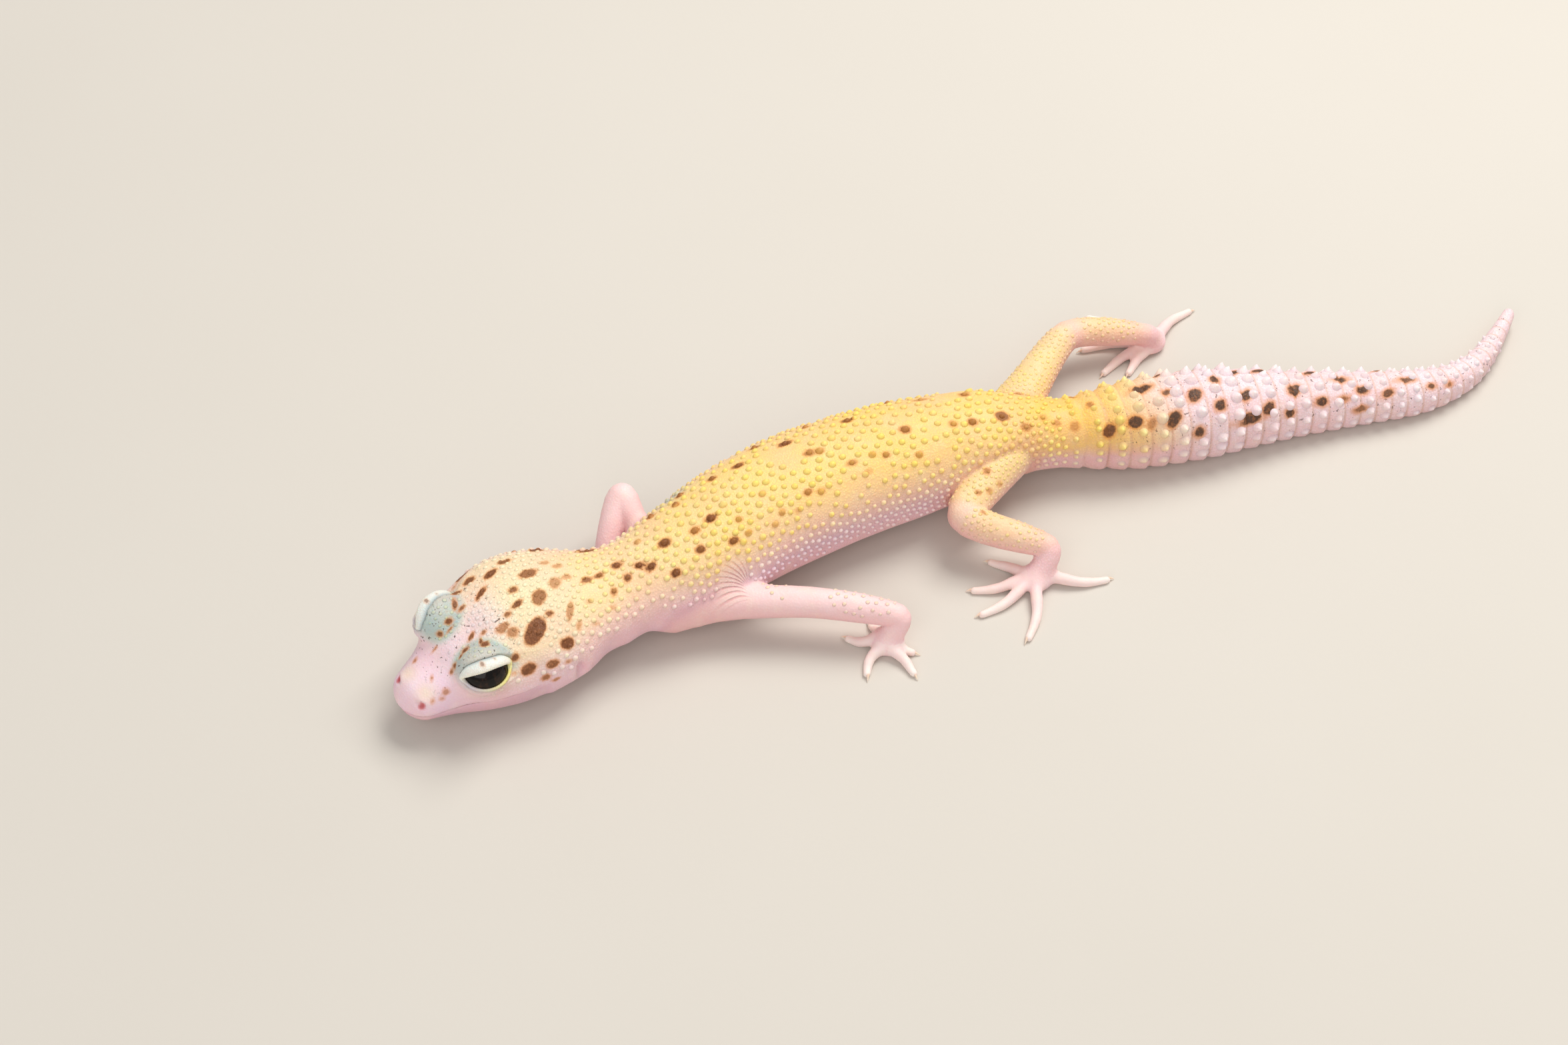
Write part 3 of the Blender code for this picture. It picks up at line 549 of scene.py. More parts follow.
def outside_tube(points, path, radii):
    """Distance to a tube through the path's points, and how far along it: the least over its straight
    pieces of the distance to a piece, less the radius there."""
    nearest = np.full(len(points), FAR)
    along = np.zeros(len(points))
    for k in range(len(path) - 1):
        piece = path[k + 1] - path[k]
        u = np.clip((points - path[k]) @ piece / piece.dot(piece), 0, 1)
        away = np.linalg.norm(points - path[k] - u[:, None] * piece, axis=1)
        gap = away - radii[k] - u * (radii[k + 1] - radii[k])
        along = np.where(gap < nearest, k + u, along)
        nearest = np.minimum(nearest, gap)
    return nearest, along


def outside_limb(points, limb):
    """The limb's field, and how far along it a place is: 0 at its root, 1 and 2 at its joints, 3 at the pad
    and up to 4 at the tip of a toe. The pad is an ellipsoid, and bone, pad and toes melt together."""
    gap, along = outside_tube(points, limb.bone, limb.bone_radii)
    along = along * 3 / (BONE_POINTS - 1)
    sole = (points - limb.pad - (0, 0, -PAD_SINK)) / PAD_RADII
    paw = (np.maximum(np.linalg.norm(sole, axis=1), 0.05) - 1) * PAD_SCALE
    reach = np.full(len(points), 3.0)
    for toe in limb.toes:
        toe_gap, toe_along = outside_tube(points, toe, toe_radii())
        way = TOE_START + (1 - TOE_START) * toe_along / (TOE_POINTS - 1)
        reach = np.where(toe_gap < paw, 3 + way, reach)
        paw = smooth_min(paw, toe_gap, TOE_BLEND)
    along = np.where(paw < gap, reach, along)
    return smooth_min(gap, paw, PAD_BLEND), along


# ---------------------------------------------------------------- the skin's field


def mouth_height(s):
    """How high over the floor the line of the mouth runs."""
    return by_table(MOUTH_LINE, s)


def relief(s, out, height):
    """How far the skin stands out from the plain body: a sum of bell-shaped bumps, the mouth's groove with
    its lip and the set-in jaw, and the tail's rings."""
    rise = np.zeros(s.shape)
    side = np.abs(out)
    for at, away, up, long, wide, tall, stands in RELIEF:
        near = np.flatnonzero(np.abs(s - at) < 3 * long)
        bump = bell(s[near], at, long) * bell(side[near], away, wide) * bell(height[near], up, tall)
        rise[near] += stands * bump
    head = np.flatnonzero(s < 21)
    lip = height[head] - mouth_height(s[head])
    fade = ramp(19, 15, s[head])
    jaw = ramp(0.1, -0.5, lip) * ramp(-3.5, -1.5, lip)
    rise[head] += fade * (LIP_SWELL * bell(lip, 0.7, 0.5) - JAW_STEP * jaw)
    rise[head] -= fade * MOUTH_DEPTH * bell(lip, 0, MOUTH_WIDTH)
    return rise + ring_swell(s)


def armpit_fan(s, out, height):
    """The fan of creases over the left armpit. A crease's running number is its angle about the armpit,
    which turns a little with the distance away, and its strength fades at both ends and beside the fan."""
    ahead, up = ARMPIT[0] - s, height - ARMPIT[1]
    away = np.hypot(ahead, up)
    angle = np.arctan2(up, ahead) + ARMPIT_TURN * (away - 2)
    strength = ramp(0.7, 1.8, away) * ramp(ARMPIT_REACH + 1.5, ARMPIT_REACH - 1.5, away)
    strength *= ramp(-0.1, 0.2, angle) * ramp(2.1, 1.6, angle) * ramp(4, 6, out) * ramp(16, 13, out)
    return ARMPIT_CREASES * angle, strength


def outside_trunk(s, out, height):
    """The body's field: a superellipse across it, squarer below, closed by an ellipsoid at the snout and at
    the tail's tip. Roughly the distance to it in millimetres, less than nothing inside."""
    half, back, belly, level = section_at(s)
    over = height - level
    up = np.where(over >= 0, back - level, level - belly)
    power = np.where(over >= 0, BACK_POWER, BELLY_POWER)
    across = ((np.abs(out) / half) ** power + (np.abs(over) / up) ** power) ** (1 / power)
    nose = np.maximum((SNOUT_ROUNDING - s) / SNOUT_ROUNDING, 0)
    tail = np.maximum((s - TAIL_TIP + TAIL_ROUNDING) / TAIL_ROUNDING, 0)
    fill = np.sqrt(across**2 + nose**2 + tail**2)
    reach = np.sqrt(out**2 + over**2 + (nose * SNOUT_ROUNDING) ** 2 + (tail * TAIL_ROUNDING) ** 2)
    off_middle = fill > 0.05
    radius = np.where(off_middle, reach / np.maximum(fill, 0.05), np.minimum(half, up))
    return np.where(off_middle, reach, 0) - radius


def flesh(points, s, full=False):
    """The skin's field at points whose distance along the body is s: trunk, relief, brows, limbs, and the
    hollows that hold the eyeballs. With full, also the place's share of a limb and where on it."""
    x, y, z = points.T
    out, height = off_midline(s, x, y, z)
    field = outside_trunk(s, out, height) - relief(s, out, height) + np.interp(s, FINE, DEPTH_ALONG)
    share = np.zeros(len(points))
    along = np.zeros(len(points))
    which = np.full(len(points), -1)
    for limb in LIMB_LIST:
        near = limb.near(points)
        gap, at = outside_limb(points[near], limb)
        gap = gap + LIMB_SKIN_DEPTH * ramp(3, 2.4, at)
        closer = ramp(2.0, -2.0, gap - field[near])
        taken = closer > share[near]
        which[near[taken]] = limb.number
        along[near[taken]] = at[taken]
        share[near] = np.maximum(share[near], closer)
        crease = THIGH_CREASE * limb.hind * bell(gap - field[near], -0.2, 0.5)
        field[near] = smooth_min(field[near], gap, THIGH_BLEND if limb.hind else ROOT_BLEND) + crease
    for eye in EYES.values():
        near = np.flatnonzero(np.linalg.norm(points - eye.centre, axis=1) < EYE_REACH)
        ahead, up, over = eye.chart(points[near])
        dome = over - BROW_HEIGHT + BROW_DROP * ramp(0.5, -2.5, up)
        raised = smooth_min(field[near], dome, BROW_BLEND)
        rim = outside_loop(ahead, up, LID_EDGE_LOOP)
        raised = raised + LID_ROLL * bell(rim, 0.25, 0.35)
        field[near] = smooth_max(raised, np.minimum(-rim - 0.10, over + LID_BED), 0.25)
    if full:
        return field, out, height, share, which, along
    return field


def settled(points, steps=4, most=0.3):
    """Points moved onto the skin: each step goes straight down the field's slope, which is found from
    differences over a small move along each axis."""
    small = 0.02
    s = along_body(points[:, 0], points[:, 1])
    for _ in range(steps):
        s = along_body(points[:, 0], points[:, 1], s)
        here = flesh(points, s)
        slope = np.empty_like(points)
        for axis in range(3):
            moved = points.copy()
            moved[:, axis] += small
            slope[:, axis] = (flesh(moved, along_body(moved[:, 0], moved[:, 1], s)) - here) / small
        steepness = np.maximum((slope**2).sum(axis=1), 0.2)
        step = -(here / steepness)[:, None] * slope
        length = np.linalg.norm(step, axis=1, keepdims=True)
        points = points + step * np.minimum(1, most / np.maximum(length, 1e-9))
    return points, unit(slope)


def surface_nets(field, low, step):
    """The surface where a field on a grid is nothing. A vertex stands in every cell that the surface
    crosses, at the mean of the crossings of its edges, and a quad stands round every grid edge it crosses."""
    inside = field < 0
    cells = np.array(field.shape) - 1
    corners = [(i, j, k) for i in (0, 1) for j in (0, 1) for k in (0, 1)]
    count = np.zeros(cells, np.int8)
    for i, j, k in corners:
        count += inside[i : i + cells[0], j : j + cells[1], k : k + cells[2]]
    live = (count > 0) & (count < len(corners))
    index = np.full(live.shape, -1)
    index[live] = np.arange(live.sum())
    cell = np.argwhere(live)
    total = np.zeros((len(cell), 3))
    hits = np.zeros(len(cell))
    for axis in range(3):
        unit = np.eye(3, dtype=int)[axis]
        for corner in corners:
            if corner[axis]:
                continue
            start = cell + corner
            a, b = field[tuple(start.T)], field[tuple((start + unit).T)]
            crossed = (a < 0) != (b < 0)
            u = np.where(crossed, a / np.where(crossed, a - b, 1), 0)
            total += crossed[:, None] * (np.array(corner) + u[:, None] * unit)
            hits += crossed
    quads = []
    for axis in range(3):
        unit, side, up = (np.eye(3, dtype=int)[(axis + k) % 3] for k in range(3))
        a = np.delete(inside, -1, axis=axis)
        b = np.delete(inside, 0, axis=axis)
        edge = np.argwhere(a != b)
        edge = edge[(edge[:, (axis + 1) % 3] > 0) & (edge[:, (axis + 2) % 3] > 0)]
        round_it = [edge - side - up, edge - up, edge, edge - side]
        ring = np.stack([index[tuple(c.T)] for c in round_it], axis=1)
        outwards = a[tuple(edge.T)]
        quads.append(np.where(outwards[:, None], ring, ring[:, ::-1]))
    return low + (cell + total / hits[:, None]) * step, np.vstack(quads)


# ---------------------------------------------------------------- meshes


def eye_shift():
    """How far the frame stands from these measures: from the left eyeball's centre here to the frame's."""
    middle = np.mean(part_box("left_eye"), axis=0) / MM
    shift = middle - EYES["left"].centre
    shift[2] = 0
    return shift


SHIFT = eye_shift()


def placed(points):
    """Millimetres in the animal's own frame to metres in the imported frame."""
    return (np.asarray(points, float) + SHIFT) * MM


def mesh_of(name, points, faces, smooth=True):
    """A mesh from one array of points and a list of arrays of faces, each with as many columns as corners."""
    faces = faces if isinstance(faces, list) else [faces]
    loops = np.concatenate([f.ravel() for f in faces])
    sizes = np.concatenate([np.full(len(f), f.shape[1]) for f in faces])
    mesh = bpy.data.meshes.new(name)
    mesh.vertices.add(len(points))
    mesh.vertices.foreach_set("co", placed(points).astype(np.float32).ravel())
    mesh.loops.add(len(loops))
    mesh.loops.foreach_set("vertex_index", loops.astype(np.int32))
    mesh.polygons.add(len(sizes))
    mesh.polygons.foreach_set("loop_start", (np.cumsum(sizes) - sizes).astype(np.int32))
    mesh.update(calc_edges=True)
    mesh.validate()
    if smooth:
        mesh.shade_smooth()
    return mesh


def points_of(mesh):
    """The mesh's vertices in millimetres in the animal's own frame."""
    flat = np.empty(len(mesh.vertices) * 3, np.float32)
    mesh.vertices.foreach_get("co", flat)
    return flat.reshape(-1, 3).astype(float) / MM - SHIFT


def paint(mesh, **layers):
    """Attributes of the vertices: a colour where a layer's values have three columns, else a number."""
    for name, values in layers.items():
        values = np.asarray(values, np.float32)
        if values.ndim == 2:
            layer = mesh.attributes.new(name, "FLOAT_COLOR", "POINT")
            colours = np.column_stack([values, np.ones(len(values), np.float32)])
            layer.data.foreach_set("color", colours.ravel())
        else:
            layer = mesh.attributes.new(name, "FLOAT", "POINT")
            layer.data.foreach_set("value", values)


def piece(name, mesh, material, slot, nodes=()):
    """An object of the model: it rides on the one body, and stands for the nodes it replaces."""
    obj = bpy.data.objects.new(name, mesh)
    bpy.context.scene.collection.objects.link(obj)
    mesh.materials.append(material)
    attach(obj, "root")
    if nodes:
        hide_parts(*nodes)
    return obj


def grid_faces(rows, columns, wrap_rows=False, wrap_columns=True):
    """Quads between the points of a grid, which are numbered row by row."""
    i = np.arange(rows if wrap_rows else rows - 1)[:, None]
    j = np.arange(columns if wrap_columns else columns - 1)[None, :]
    up, side = (i + 1) % rows, (j + 1) % columns
    corners = [i * columns + j, i * columns + side, up * columns + side, up * columns + j]
    return np.stack([np.broadcast_to(c, (i.shape[0], j.shape[1])).ravel() for c in corners], axis=1)


# ---------------------------------------------------------------- markings


def linear(colour):
    """Linear light from 0 to 255 screen values, by the sRGB curve: a power with a straight foot."""
    c = np.asarray(colour, float) / 255
    return np.where(c <= 0.04045, c / 12.92, ((c + 0.055) / 1.055) ** 2.4)


def tones(stops, at):
    """Colours at the places between stops, each a number and its red, green and blue."""
    rows = np.array([(key, *colour) for key, colour in stops], float)
    return np.stack([np.interp(at, rows[:, 0], rows[:, k]) for k in (1, 2, 3)], axis=-1)


def mixed(a, b, share):
    """Colour b laid over colour a, by a share for each place."""
    return a + (np.asarray(b, float) - a) * share[:, None]


def section_points(s, degrees):
    """Points of the plain body's surface at distances s and angles round the section."""
    half, back, belly, level = section_at(s)
    c, q = np.cos(np.radians(degrees)), np.sin(np.radians(degrees))
    power = np.where(q >= 0, BACK_POWER, BELLY_POWER)
    reach = (np.abs(c) ** power + np.abs(q) ** power) ** (-1 / power)
    up = np.where(q >= 0, back - level, level - belly)
    return body_points(s, half * c * reach, level + up * q * reach)


def lie_of(points, normals):
    """Unit vectors along the skin: towards the tail, and across to the left of that."""
    s = along_body(points[:, 0], points[:, 1])
    _, _, left_x, left_y = midline(s)
    back = np.stack([-left_y, left_x, np.zeros(len(s))], axis=1)
    back = unit(back - normals * (back * normals).sum(axis=1, keepdims=True))
    return back, np.cross(normals, back)


class Places:
    """Where points of the skin lie: their distance along the body, out to the left and up from the floor, the
    angle round the section, how high up the side that is, the share of a limb, which limb and where on it."""

    def __init__(self, points):
        self.points = points
        self.s = along_body(points[:, 0], points[:, 1])
        _, self.out, self.height, self.share, self.which, self.along = flesh(points, self.s, full=True)
        self.off_limbs = self.share < 0.5
        self.angle = angle_round(self.s, self.out, self.height)
        self.lift = lift_of(self.angle)


class Markings:
    """The dark spots as small ovals on the skin, each with its centre, its two axes and its darkness."""

    def __init__(self):
        rows = np.array(SPOTS, float)
        low = rows[(rows[:, 1] < MIRRORED_BELOW) & (rows[:, 0] > MIRRORED_AFTER)].copy()
        low[:, 0] += MIRROR_SHIFT
        low[:, 1] = 180 - low[:, 1]
        low[:, 4] *= -1
        rows = np.vstack([rows, low])
        legs = np.array(LEG_SPOTS)
        blank = np.zeros(len(legs))
        places = np.vstack([section_points(rows[:, 0], rows[:, 1]), legs[:, :3]])
        rows = np.vstack([rows, np.column_stack([blank, blank, legs[:, 3], legs[:, 3], blank, legs[:, 4]])])
        self.centre, normals = settled(places, steps=3)
        back, across = lie_of(self.centre, normals)
        turn = np.radians(rows[:, 4])[:, None]
        self.station = rows[:, 0]
        self.long = (back * np.cos(turn) + across * np.sin(turn)) / rows[:, 2:3]
        self.wide = (across * np.cos(turn) - back * np.sin(turn)) / rows[:, 3:4]
        self.size = np.sqrt(rows[:, 2] * rows[:, 3])
        self.dark = rows[:, 5]

    def at(self, points):
        """Distance to the nearest spot's edge, less than nothing inside it, and that spot's darkness."""
        edge = np.full(len(points), SPOT_REACH)
        dark = np.zeros(len(points))
        spots = zip(self.centre, self.long, self.wide, self.size, self.dark)
        for centre, long, wide, size, darkness in spots:
            near = np.flatnonzero((np.abs(points - centre) < SPOT_REACH + 0.5).all(axis=1))
            away = points[near] - centre
            oval = np.sqrt((away @ long) ** 2 + (away @ wide) ** 2)
            gap = np.where(np.linalg.norm(away, axis=1) > SPOT_REACH, SPOT_REACH, (oval - 1) * size)
            closer = gap < edge[near]
            edge[near[closer]] = gap[closer]
            dark[near[closer]] = darkness
        return np.clip(edge, -SPOT_REACH / 2, SPOT_REACH), dark


# Colours by how high up the side they lie, from -90 under the belly to 90 on the back: the hide's, then
# its scales'.
BANDS = {
    "snout": (
        [(-90, (232, 200, 210)), (0, (232, 196, 214)), (40, (242, 212, 228)), (90, (246, 220, 234))],
        [(-90, (230, 200, 205)), (40, (240, 212, 220)), (90, (244, 220, 222))],
    ),
    "crown": (
        [
            (-90, (230, 198, 200)), (-20, (234, 194, 210)), (10, (240, 206, 214)),
            (28, (246, 217, 208)), (45, (250, 227, 186)), (90, (254, 234, 190)),
        ],
        [
            (-90, (238, 210, 212)), (12, (244, 216, 216)), (32, (250, 232, 198)),
            (90, (255, 241, 196)),
        ],
    ),
    "neck": (
        [
            (-90, (236, 204, 210)), (-20, (236, 194, 206)), (12, (242, 200, 206)),
            (34, (248, 210, 194)), (58, (252, 220, 162)), (90, (254, 226, 164)),
        ],
        [
            (-90, (238, 208, 212)), (12, (250, 220, 220)), (36, (252, 224, 186)),
            (55, (255, 230, 152)), (90, (255, 232, 150)),
        ],
    ),
    "trunk": (
        [
            (-90, (236, 210, 212)), (-40, (234, 198, 206)), (-15, (234, 192, 206)),
            (5, (226, 192, 206)), (22, (240, 202, 194)), (36, (249, 212, 164)), (52, (252, 216, 134)),
            (90, (254, 221, 138)),
        ],
        [
            (-90, (245, 222, 226)), (-15, (254, 230, 242)), (8, (255, 232, 242)),
            (18, (255, 228, 208)), (30, (255, 216, 120)), (50, (255, 220, 106)), (90, (255, 226, 118)),
        ],
    ),
    "tail_root": (
        [(-90, (236, 200, 198)), (2, (234, 186, 190)), (26, (248, 202, 112)), (90, (255, 206, 84))],
        [(-90, (240, 214, 206)), (0, (252, 226, 190)), (20, (255, 226, 112)), (90, (255, 226, 104))],
    ),
    "tail": (
        [
            (-90, (240, 210, 214)), (-10, (240, 206, 214)), (25, (248, 222, 230)),
            (90, (250, 228, 236)),
        ],
        [(-90, (242, 216, 220)), (0, (251, 230, 236)), (90, (254, 240, 242))],
    ),
}
# Colours by how far along a limb they lie, from 0 at its root to 3 at the paw and 4 at the tips of the toes.
LIMB_BANDS = {
    "arm": (
        [
            # The arm's deeper pink at its root is partly painted shade, from the shaded chest beside it.
            (0, (240, 188, 186)), (0.4, (246, 206, 206)), (0.9, (252, 222, 222)), (2, (252, 218, 220)),
            (3, (251, 218, 220)), (3.4, (253, 232, 228)), (4, (255, 240, 232)),
        ],
        [(0, (250, 218, 170)), (1, (252, 226, 190)), (2, (252, 224, 196)), (4, (252, 232, 215))],
    ),
    "leg": (
        [
            (0, (251, 213, 144)), (0.8, (251, 217, 158)), (1.05, (250, 212, 192)),
            (1.3, (251, 214, 158)), (1.8, (250, 208, 176)), (2.2, (248, 208, 212)),
            (3, (251, 218, 226)), (3.4, (253, 232, 228)), (4, (255, 240, 232)),
        ],
        [
            (0, (255, 226, 120)), (1.1, (254, 222, 150)), (1.7, (255, 220, 130)), (2, (250, 218, 190)),
            (4, (252, 232, 215)),
        ],
    ),
}
# A limb's underside: its pink deepened by painted shade under the limb.
LIMB_UNDER = [(0, (240, 190, 192)), (2, (244, 194, 198)), (3, (247, 210, 214)), (4, (253, 234, 228))]
# Painted shade in the crease where a limb melts into the trunk, for an arm and for a leg.
LIMB_FOLD_SHADES = {"arm": (216, 156, 172), "leg": (226, 158, 122)}
BLUE_PATCH = (50.0, 143.0)  # behind the right shoulder: distance along, angle round
NOSTRIL = (1.9, 2.9, 7.2)
NOSTRIL_RED = (186, 52, 62)
NOSTRIL_PALE = (244, 228, 178)
# The lower jaw's pink, darkened as painted shade under the overhanging upper lip.
JAW = (214, 170, 184)
BROW_BAND = (242, 222, 232)
BROW = ((188, 210, 198), (222, 228, 176))
NO_LIP = 3.0  # what stands for the distance to the mouth's line where that is far off
# Blue grey: painted shade in the groove round the top of each eye, and the colour of the patch behind the
# right shoulder.
BROW_BLUE = (158, 184, 192)


def lift_of(angle):
    """How high up the side an angle round the section is: 0 at either side, 90 on the back, -90 below."""
    return 90 - np.abs(angle - 90)


def skin_tones(place, scale=False):
    """The hide's colour before its spots, or the scales' where scale is set: bands up the side, each mixed
    into the next from the snout to the tail's tip, then the brows, the limbs and their paws."""
    s, lift, along, off_limbs = place.s, place.lift, place.along, place.off_limbs
    band = {name: tones(kinds[scale], lift) for name, kinds in BANDS.items()}
    between_eyes = bell(lift, 90, 26) * ramp(6, 10, s) * ramp(20, 14.5, s)
    coats = [
        (band["crown"], ramp(7, 17, s + 0.05 * (90 - lift))),
        (BROW_BAND, 0.75 * between_eyes),
        (band["neck"], ramp(24, 33, s)),
        (band["trunk"], ramp(38, 50, s)),
        (band["tail_root"], 0.35 * ramp(50, 92, s) + 0.65 * ramp(98, 110, s)),
        (band["tail"], ramp(115, 131, s + 0.06 * (lift - 45))),
    ]
    for eye in EYES.values():
        gap = np.linalg.norm(place.points - eye.centre, axis=1)
        above = place.points[:, 2] - eye.centre[2]
        dome = ramp(5.3, 4.3, gap) * ramp(-0.8, 0.8, above) * ramp(6.2, 8.2, s)
        coats.append((BROW[scale], dome * 0.9))
        # A blue-grey ring where the brow meets the upper lid: painted shade in the groove there.
        coats.append((BROW_BLUE, 0.55 * dome * bell(gap, 4.25, 0.35) * ramp(0.5, 2, above)))
    patch = bell(s, BLUE_PATCH[0], 3.0) * bell(place.angle, BLUE_PATCH[1], 9) * off_limbs
    from_nostril = np.stack([s, np.abs(place.out), place.height], axis=1) - NOSTRIL
    # Under the mouth's line the jaw takes JAW: its own pink, darkened as painted shade under the upper lip.
    jaw = ramp(0.1, -0.5, place.height - mouth_height(s)) * ramp(24, 15, s) * off_limbs
    coats += [
        (NOSTRIL_PALE, 0.45 * bell(s, 3.2, 1.3) * bell(lift, 60, 22) * off_limbs),
        (BROW_BLUE, 0.7 * patch),
        (NOSTRIL_RED, 0.9 * ramp(0.75, 0.30, np.linalg.norm(from_nostril, axis=1))),
        (JAW, 0.7 * jaw),
    ]
    for limb in LIMB_LIST:
        mine = place.which == limb.number
        kind = "leg" if limb.hind else "arm"
        level = np.interp(along, limb.at, limb.bone[:, 2])
        # Below the bone the limb takes LIMB_UNDER's deeper pink: painted shade under the limb.
        under = 0.8 * ramp(2.6, -1.0, place.points[:, 2] - level)
        skin = mixed(tones(LIMB_BANDS[kind][scale], along), tones(LIMB_UNDER, along), under)
        coats.append((skin, mine * ramp(0.25, 0.8, place.share)))
        # Painted shade in the crease where the limb meets the trunk.
        fold = mine * bell(place.share, 0.42, 0.2) * ramp(14.5, 11, place.height)
        coats.append((LIMB_FOLD_SHADES[kind], 0.38 * fold))
    colour = band["snout"]
    for coat, share in coats:
        colour = mixed(colour, coat, share)
    return colour


def mark_hide(mesh, place, markings):
    """Paints the attributes that the hide's shader reads: its tone, the distance to a spot and how dark
    that is, the tail's rings, the line of the mouth, where it is flecked, the armpit's fan and how smooth it
    is."""
    s, lift, off_limbs = place.s, place.lift, place.off_limbs
    spot, dark = markings.at(place.points)
    last_ring = len(RING_STARTS) - 1.5
    lip = np.abs(place.height - mouth_height(s)) + 3 * ramp(14.5, 17.5, s)
    on_head = ramp(3.5, 6, s) * ramp(21, 17, s) * ramp(35, 60, lift)
    on_tail = 0.8 * ramp(112, 120, s) * ramp(-10, 15, lift)
    # Where the armpit's creases lie, for their painted shade and their bump.
    fan, fold = armpit_fan(s, place.out, place.height)
    arms = [limb.number for limb in LIMB_LIST if not limb.hind]
    limb_skin = np.maximum(ramp(2.3, 3.2, place.along), np.where(np.isin(place.which, arms), 0.7, 0.3))
    snout = 0.75 * ramp(15, 6, s) + 0.5 * ramp(44, 36, s) * ramp(15, 0, lift)
    paint(
        mesh,
        tone=linear(np.clip(skin_tones(place), 0, 255)),
        spot=spot,
        dark=dark,
        ring=np.where(off_limbs, np.minimum(ring_number(s), last_ring), 0),
        lip=np.clip(np.where(off_limbs, lip, NO_LIP), 0, NO_LIP),
        fleck=np.maximum(on_head, on_tail) * off_limbs,
        fan=fan,
        fold=fold,
        smooth=np.maximum(limb_skin * ramp(0.3, 0.7, place.share), np.clip(snout, 0, 0.8) * off_limbs),
    )


# ---------------------------------------------------------------- materials


class Wire:
    """One output of a material's nodes. Python's operators on it add Math nodes; `node` adds any other."""

    def __init__(self, tree, socket=None):
        self.tree = tree
        self.socket = socket

    def node(self, kind, settings=None, inputs=None, output=0):
        """Adds a node with its settings, then the values or links of its sockets, and gives one output."""
        made = self.tree.nodes.new(kind)
        for name, value in (settings or {}).items():
            setattr(made, name, value)
        for name, value in (inputs or {}).items():
            if isinstance(value, Wire):
                self.tree.links.new(value.socket, made.inputs[name])
            else:
                made.inputs[name].default_value = value
        return Wire(self.tree, made.outputs[output])

    def maths(self, operation, *values):
        """One Math node on wires and numbers."""
        return self.node("ShaderNodeMath", {"operation": operation}, dict(enumerate(values)))

    def __add__(self, other):
        return self.maths("ADD", self, other)

    __radd__ = __add__

    def __sub__(self, other):
        return self.maths("SUBTRACT", self, other)

    def __rsub__(self, other):
        return self.maths("SUBTRACT", other, self)

    def __mul__(self, other):
        return self.maths("MULTIPLY", self, other)

    __rmul__ = __mul__

    def __pow__(self, other):
        return self.maths("POWER", self, other)

    def __abs__(self):
        return self.maths("ABSOLUTE", self)

    def fraction(self):
        """What is left over above the whole number below it."""
        return self.maths("FRACT", self)

    def between(self, low, high):
        """A smooth climb from 0 at low to 1 at high."""
        inputs = {"Value": self, "From Min": low, "From Max": high}
        return self.node("ShaderNodeMapRange", {"interpolation_type": "SMOOTHSTEP", "clamp": True}, inputs)

    def mix(self, a, b):
        """Colour b over colour a, by this share."""
        settings = {"data_type": "RGBA", "blend_type": "MIX", "clamp_factor": True}
        return self.node("ShaderNodeMix", settings, {0: self, 6: a, 7: b}, output=2)


class Finish:
    """A material under construction: its Principled shader, the wires that its pattern starts from, and its
    colour so far, which is ground at first, or the mesh's own tone where that is None."""

    def __init__(self, name, ground=None):
        self.material = bpy.data.materials.new(name)
        self.material.use_nodes = True
        self.tree = self.material.node_tree
        self.shader = self.tree.nodes["Principled BSDF"]
        self.start = Wire(self.tree)
        self.place = self.start.node("ShaderNodeTexCoord", output="Object")
        self.colour = self.attribute("tone", "Color") if ground is None else rgba(ground)

    def lay(self, share, colour):
        """Lays a colour, or a wire that carries one, over the colour so far by a share."""
        self.colour = share.mix(self.colour, colour if isinstance(colour, Wire) else rgba(colour))

    def attribute(self, name, output="Fac"):
        """What paint laid on the mesh under this name."""
        return self.start.node("ShaderNodeAttribute", {"attribute_name": name}, output=output)

    def noise(self, size, detail=2.0, roughness=0.5):
        """Soft noise from 0 to 1 whose lumps are size millimetres across."""
        inputs = {"Vector": self.place, "Scale": 1 / (size * MM), "Detail": detail, "Roughness": roughness}
        return self.start.node("ShaderNodeTexNoise", {"noise_dimensions": "3D"}, inputs)

    def cells(self, size):
        """Distance to the nearest cell's middle, for cells size millimetres across."""
        inputs = {"Vector": self.place, "Scale": 1 / (size * MM), "Randomness": 0.85}
        return self.start.node("ShaderNodeTexVoronoi", {"feature": "F1"}, inputs)

    def bump(self, height, depth, normal=None):
        """Normal of a surface whose height, 0 to 1, stands depth millimetres proud."""
        inputs = {"Height": height, "Distance": depth * MM, "Strength": 1.0}
        if normal:
            inputs["Normal"] = normal
        return self.start.node("ShaderNodeBump", inputs=inputs)

    def feed(self, **wires):
        """Links wires to the shader's sockets."""
        for name, wire in wires.items():
            self.tree.links.new(wire.socket, self.shader.inputs[name.replace("_", " ")])

    def fix(self, **values):
        """Sets the shader's sockets to constants."""
        for name, value in values.items():
            self.shader.inputs[name.replace("_", " ")].default_value = value


def rgba(colour):
    """A colour property, in screen values from 0 to 1, as a socket takes it."""
    return (*(float(c) for c in linear(np.array(colour) * 255)), 1.0)


# The hide's patterns: how large each is in millimetres, and how deep the bumps among them are.
CLOUD_SIZE = 6.0
PATCH_SIZE = 2.2
GRAIN_SIZE = 0.34
FINE_SIZE = 0.45
FLECK_SIZE = 0.62
RAGGED_SIZE = 0.9
LUMP_SIZE = 1.1
GRAIN_DEPTH = 0.045
SCALE_GRAIN_DEPTH = 0.030
LUMP_DEPTH = 0.06
FOLD_DEPTH = 0.10


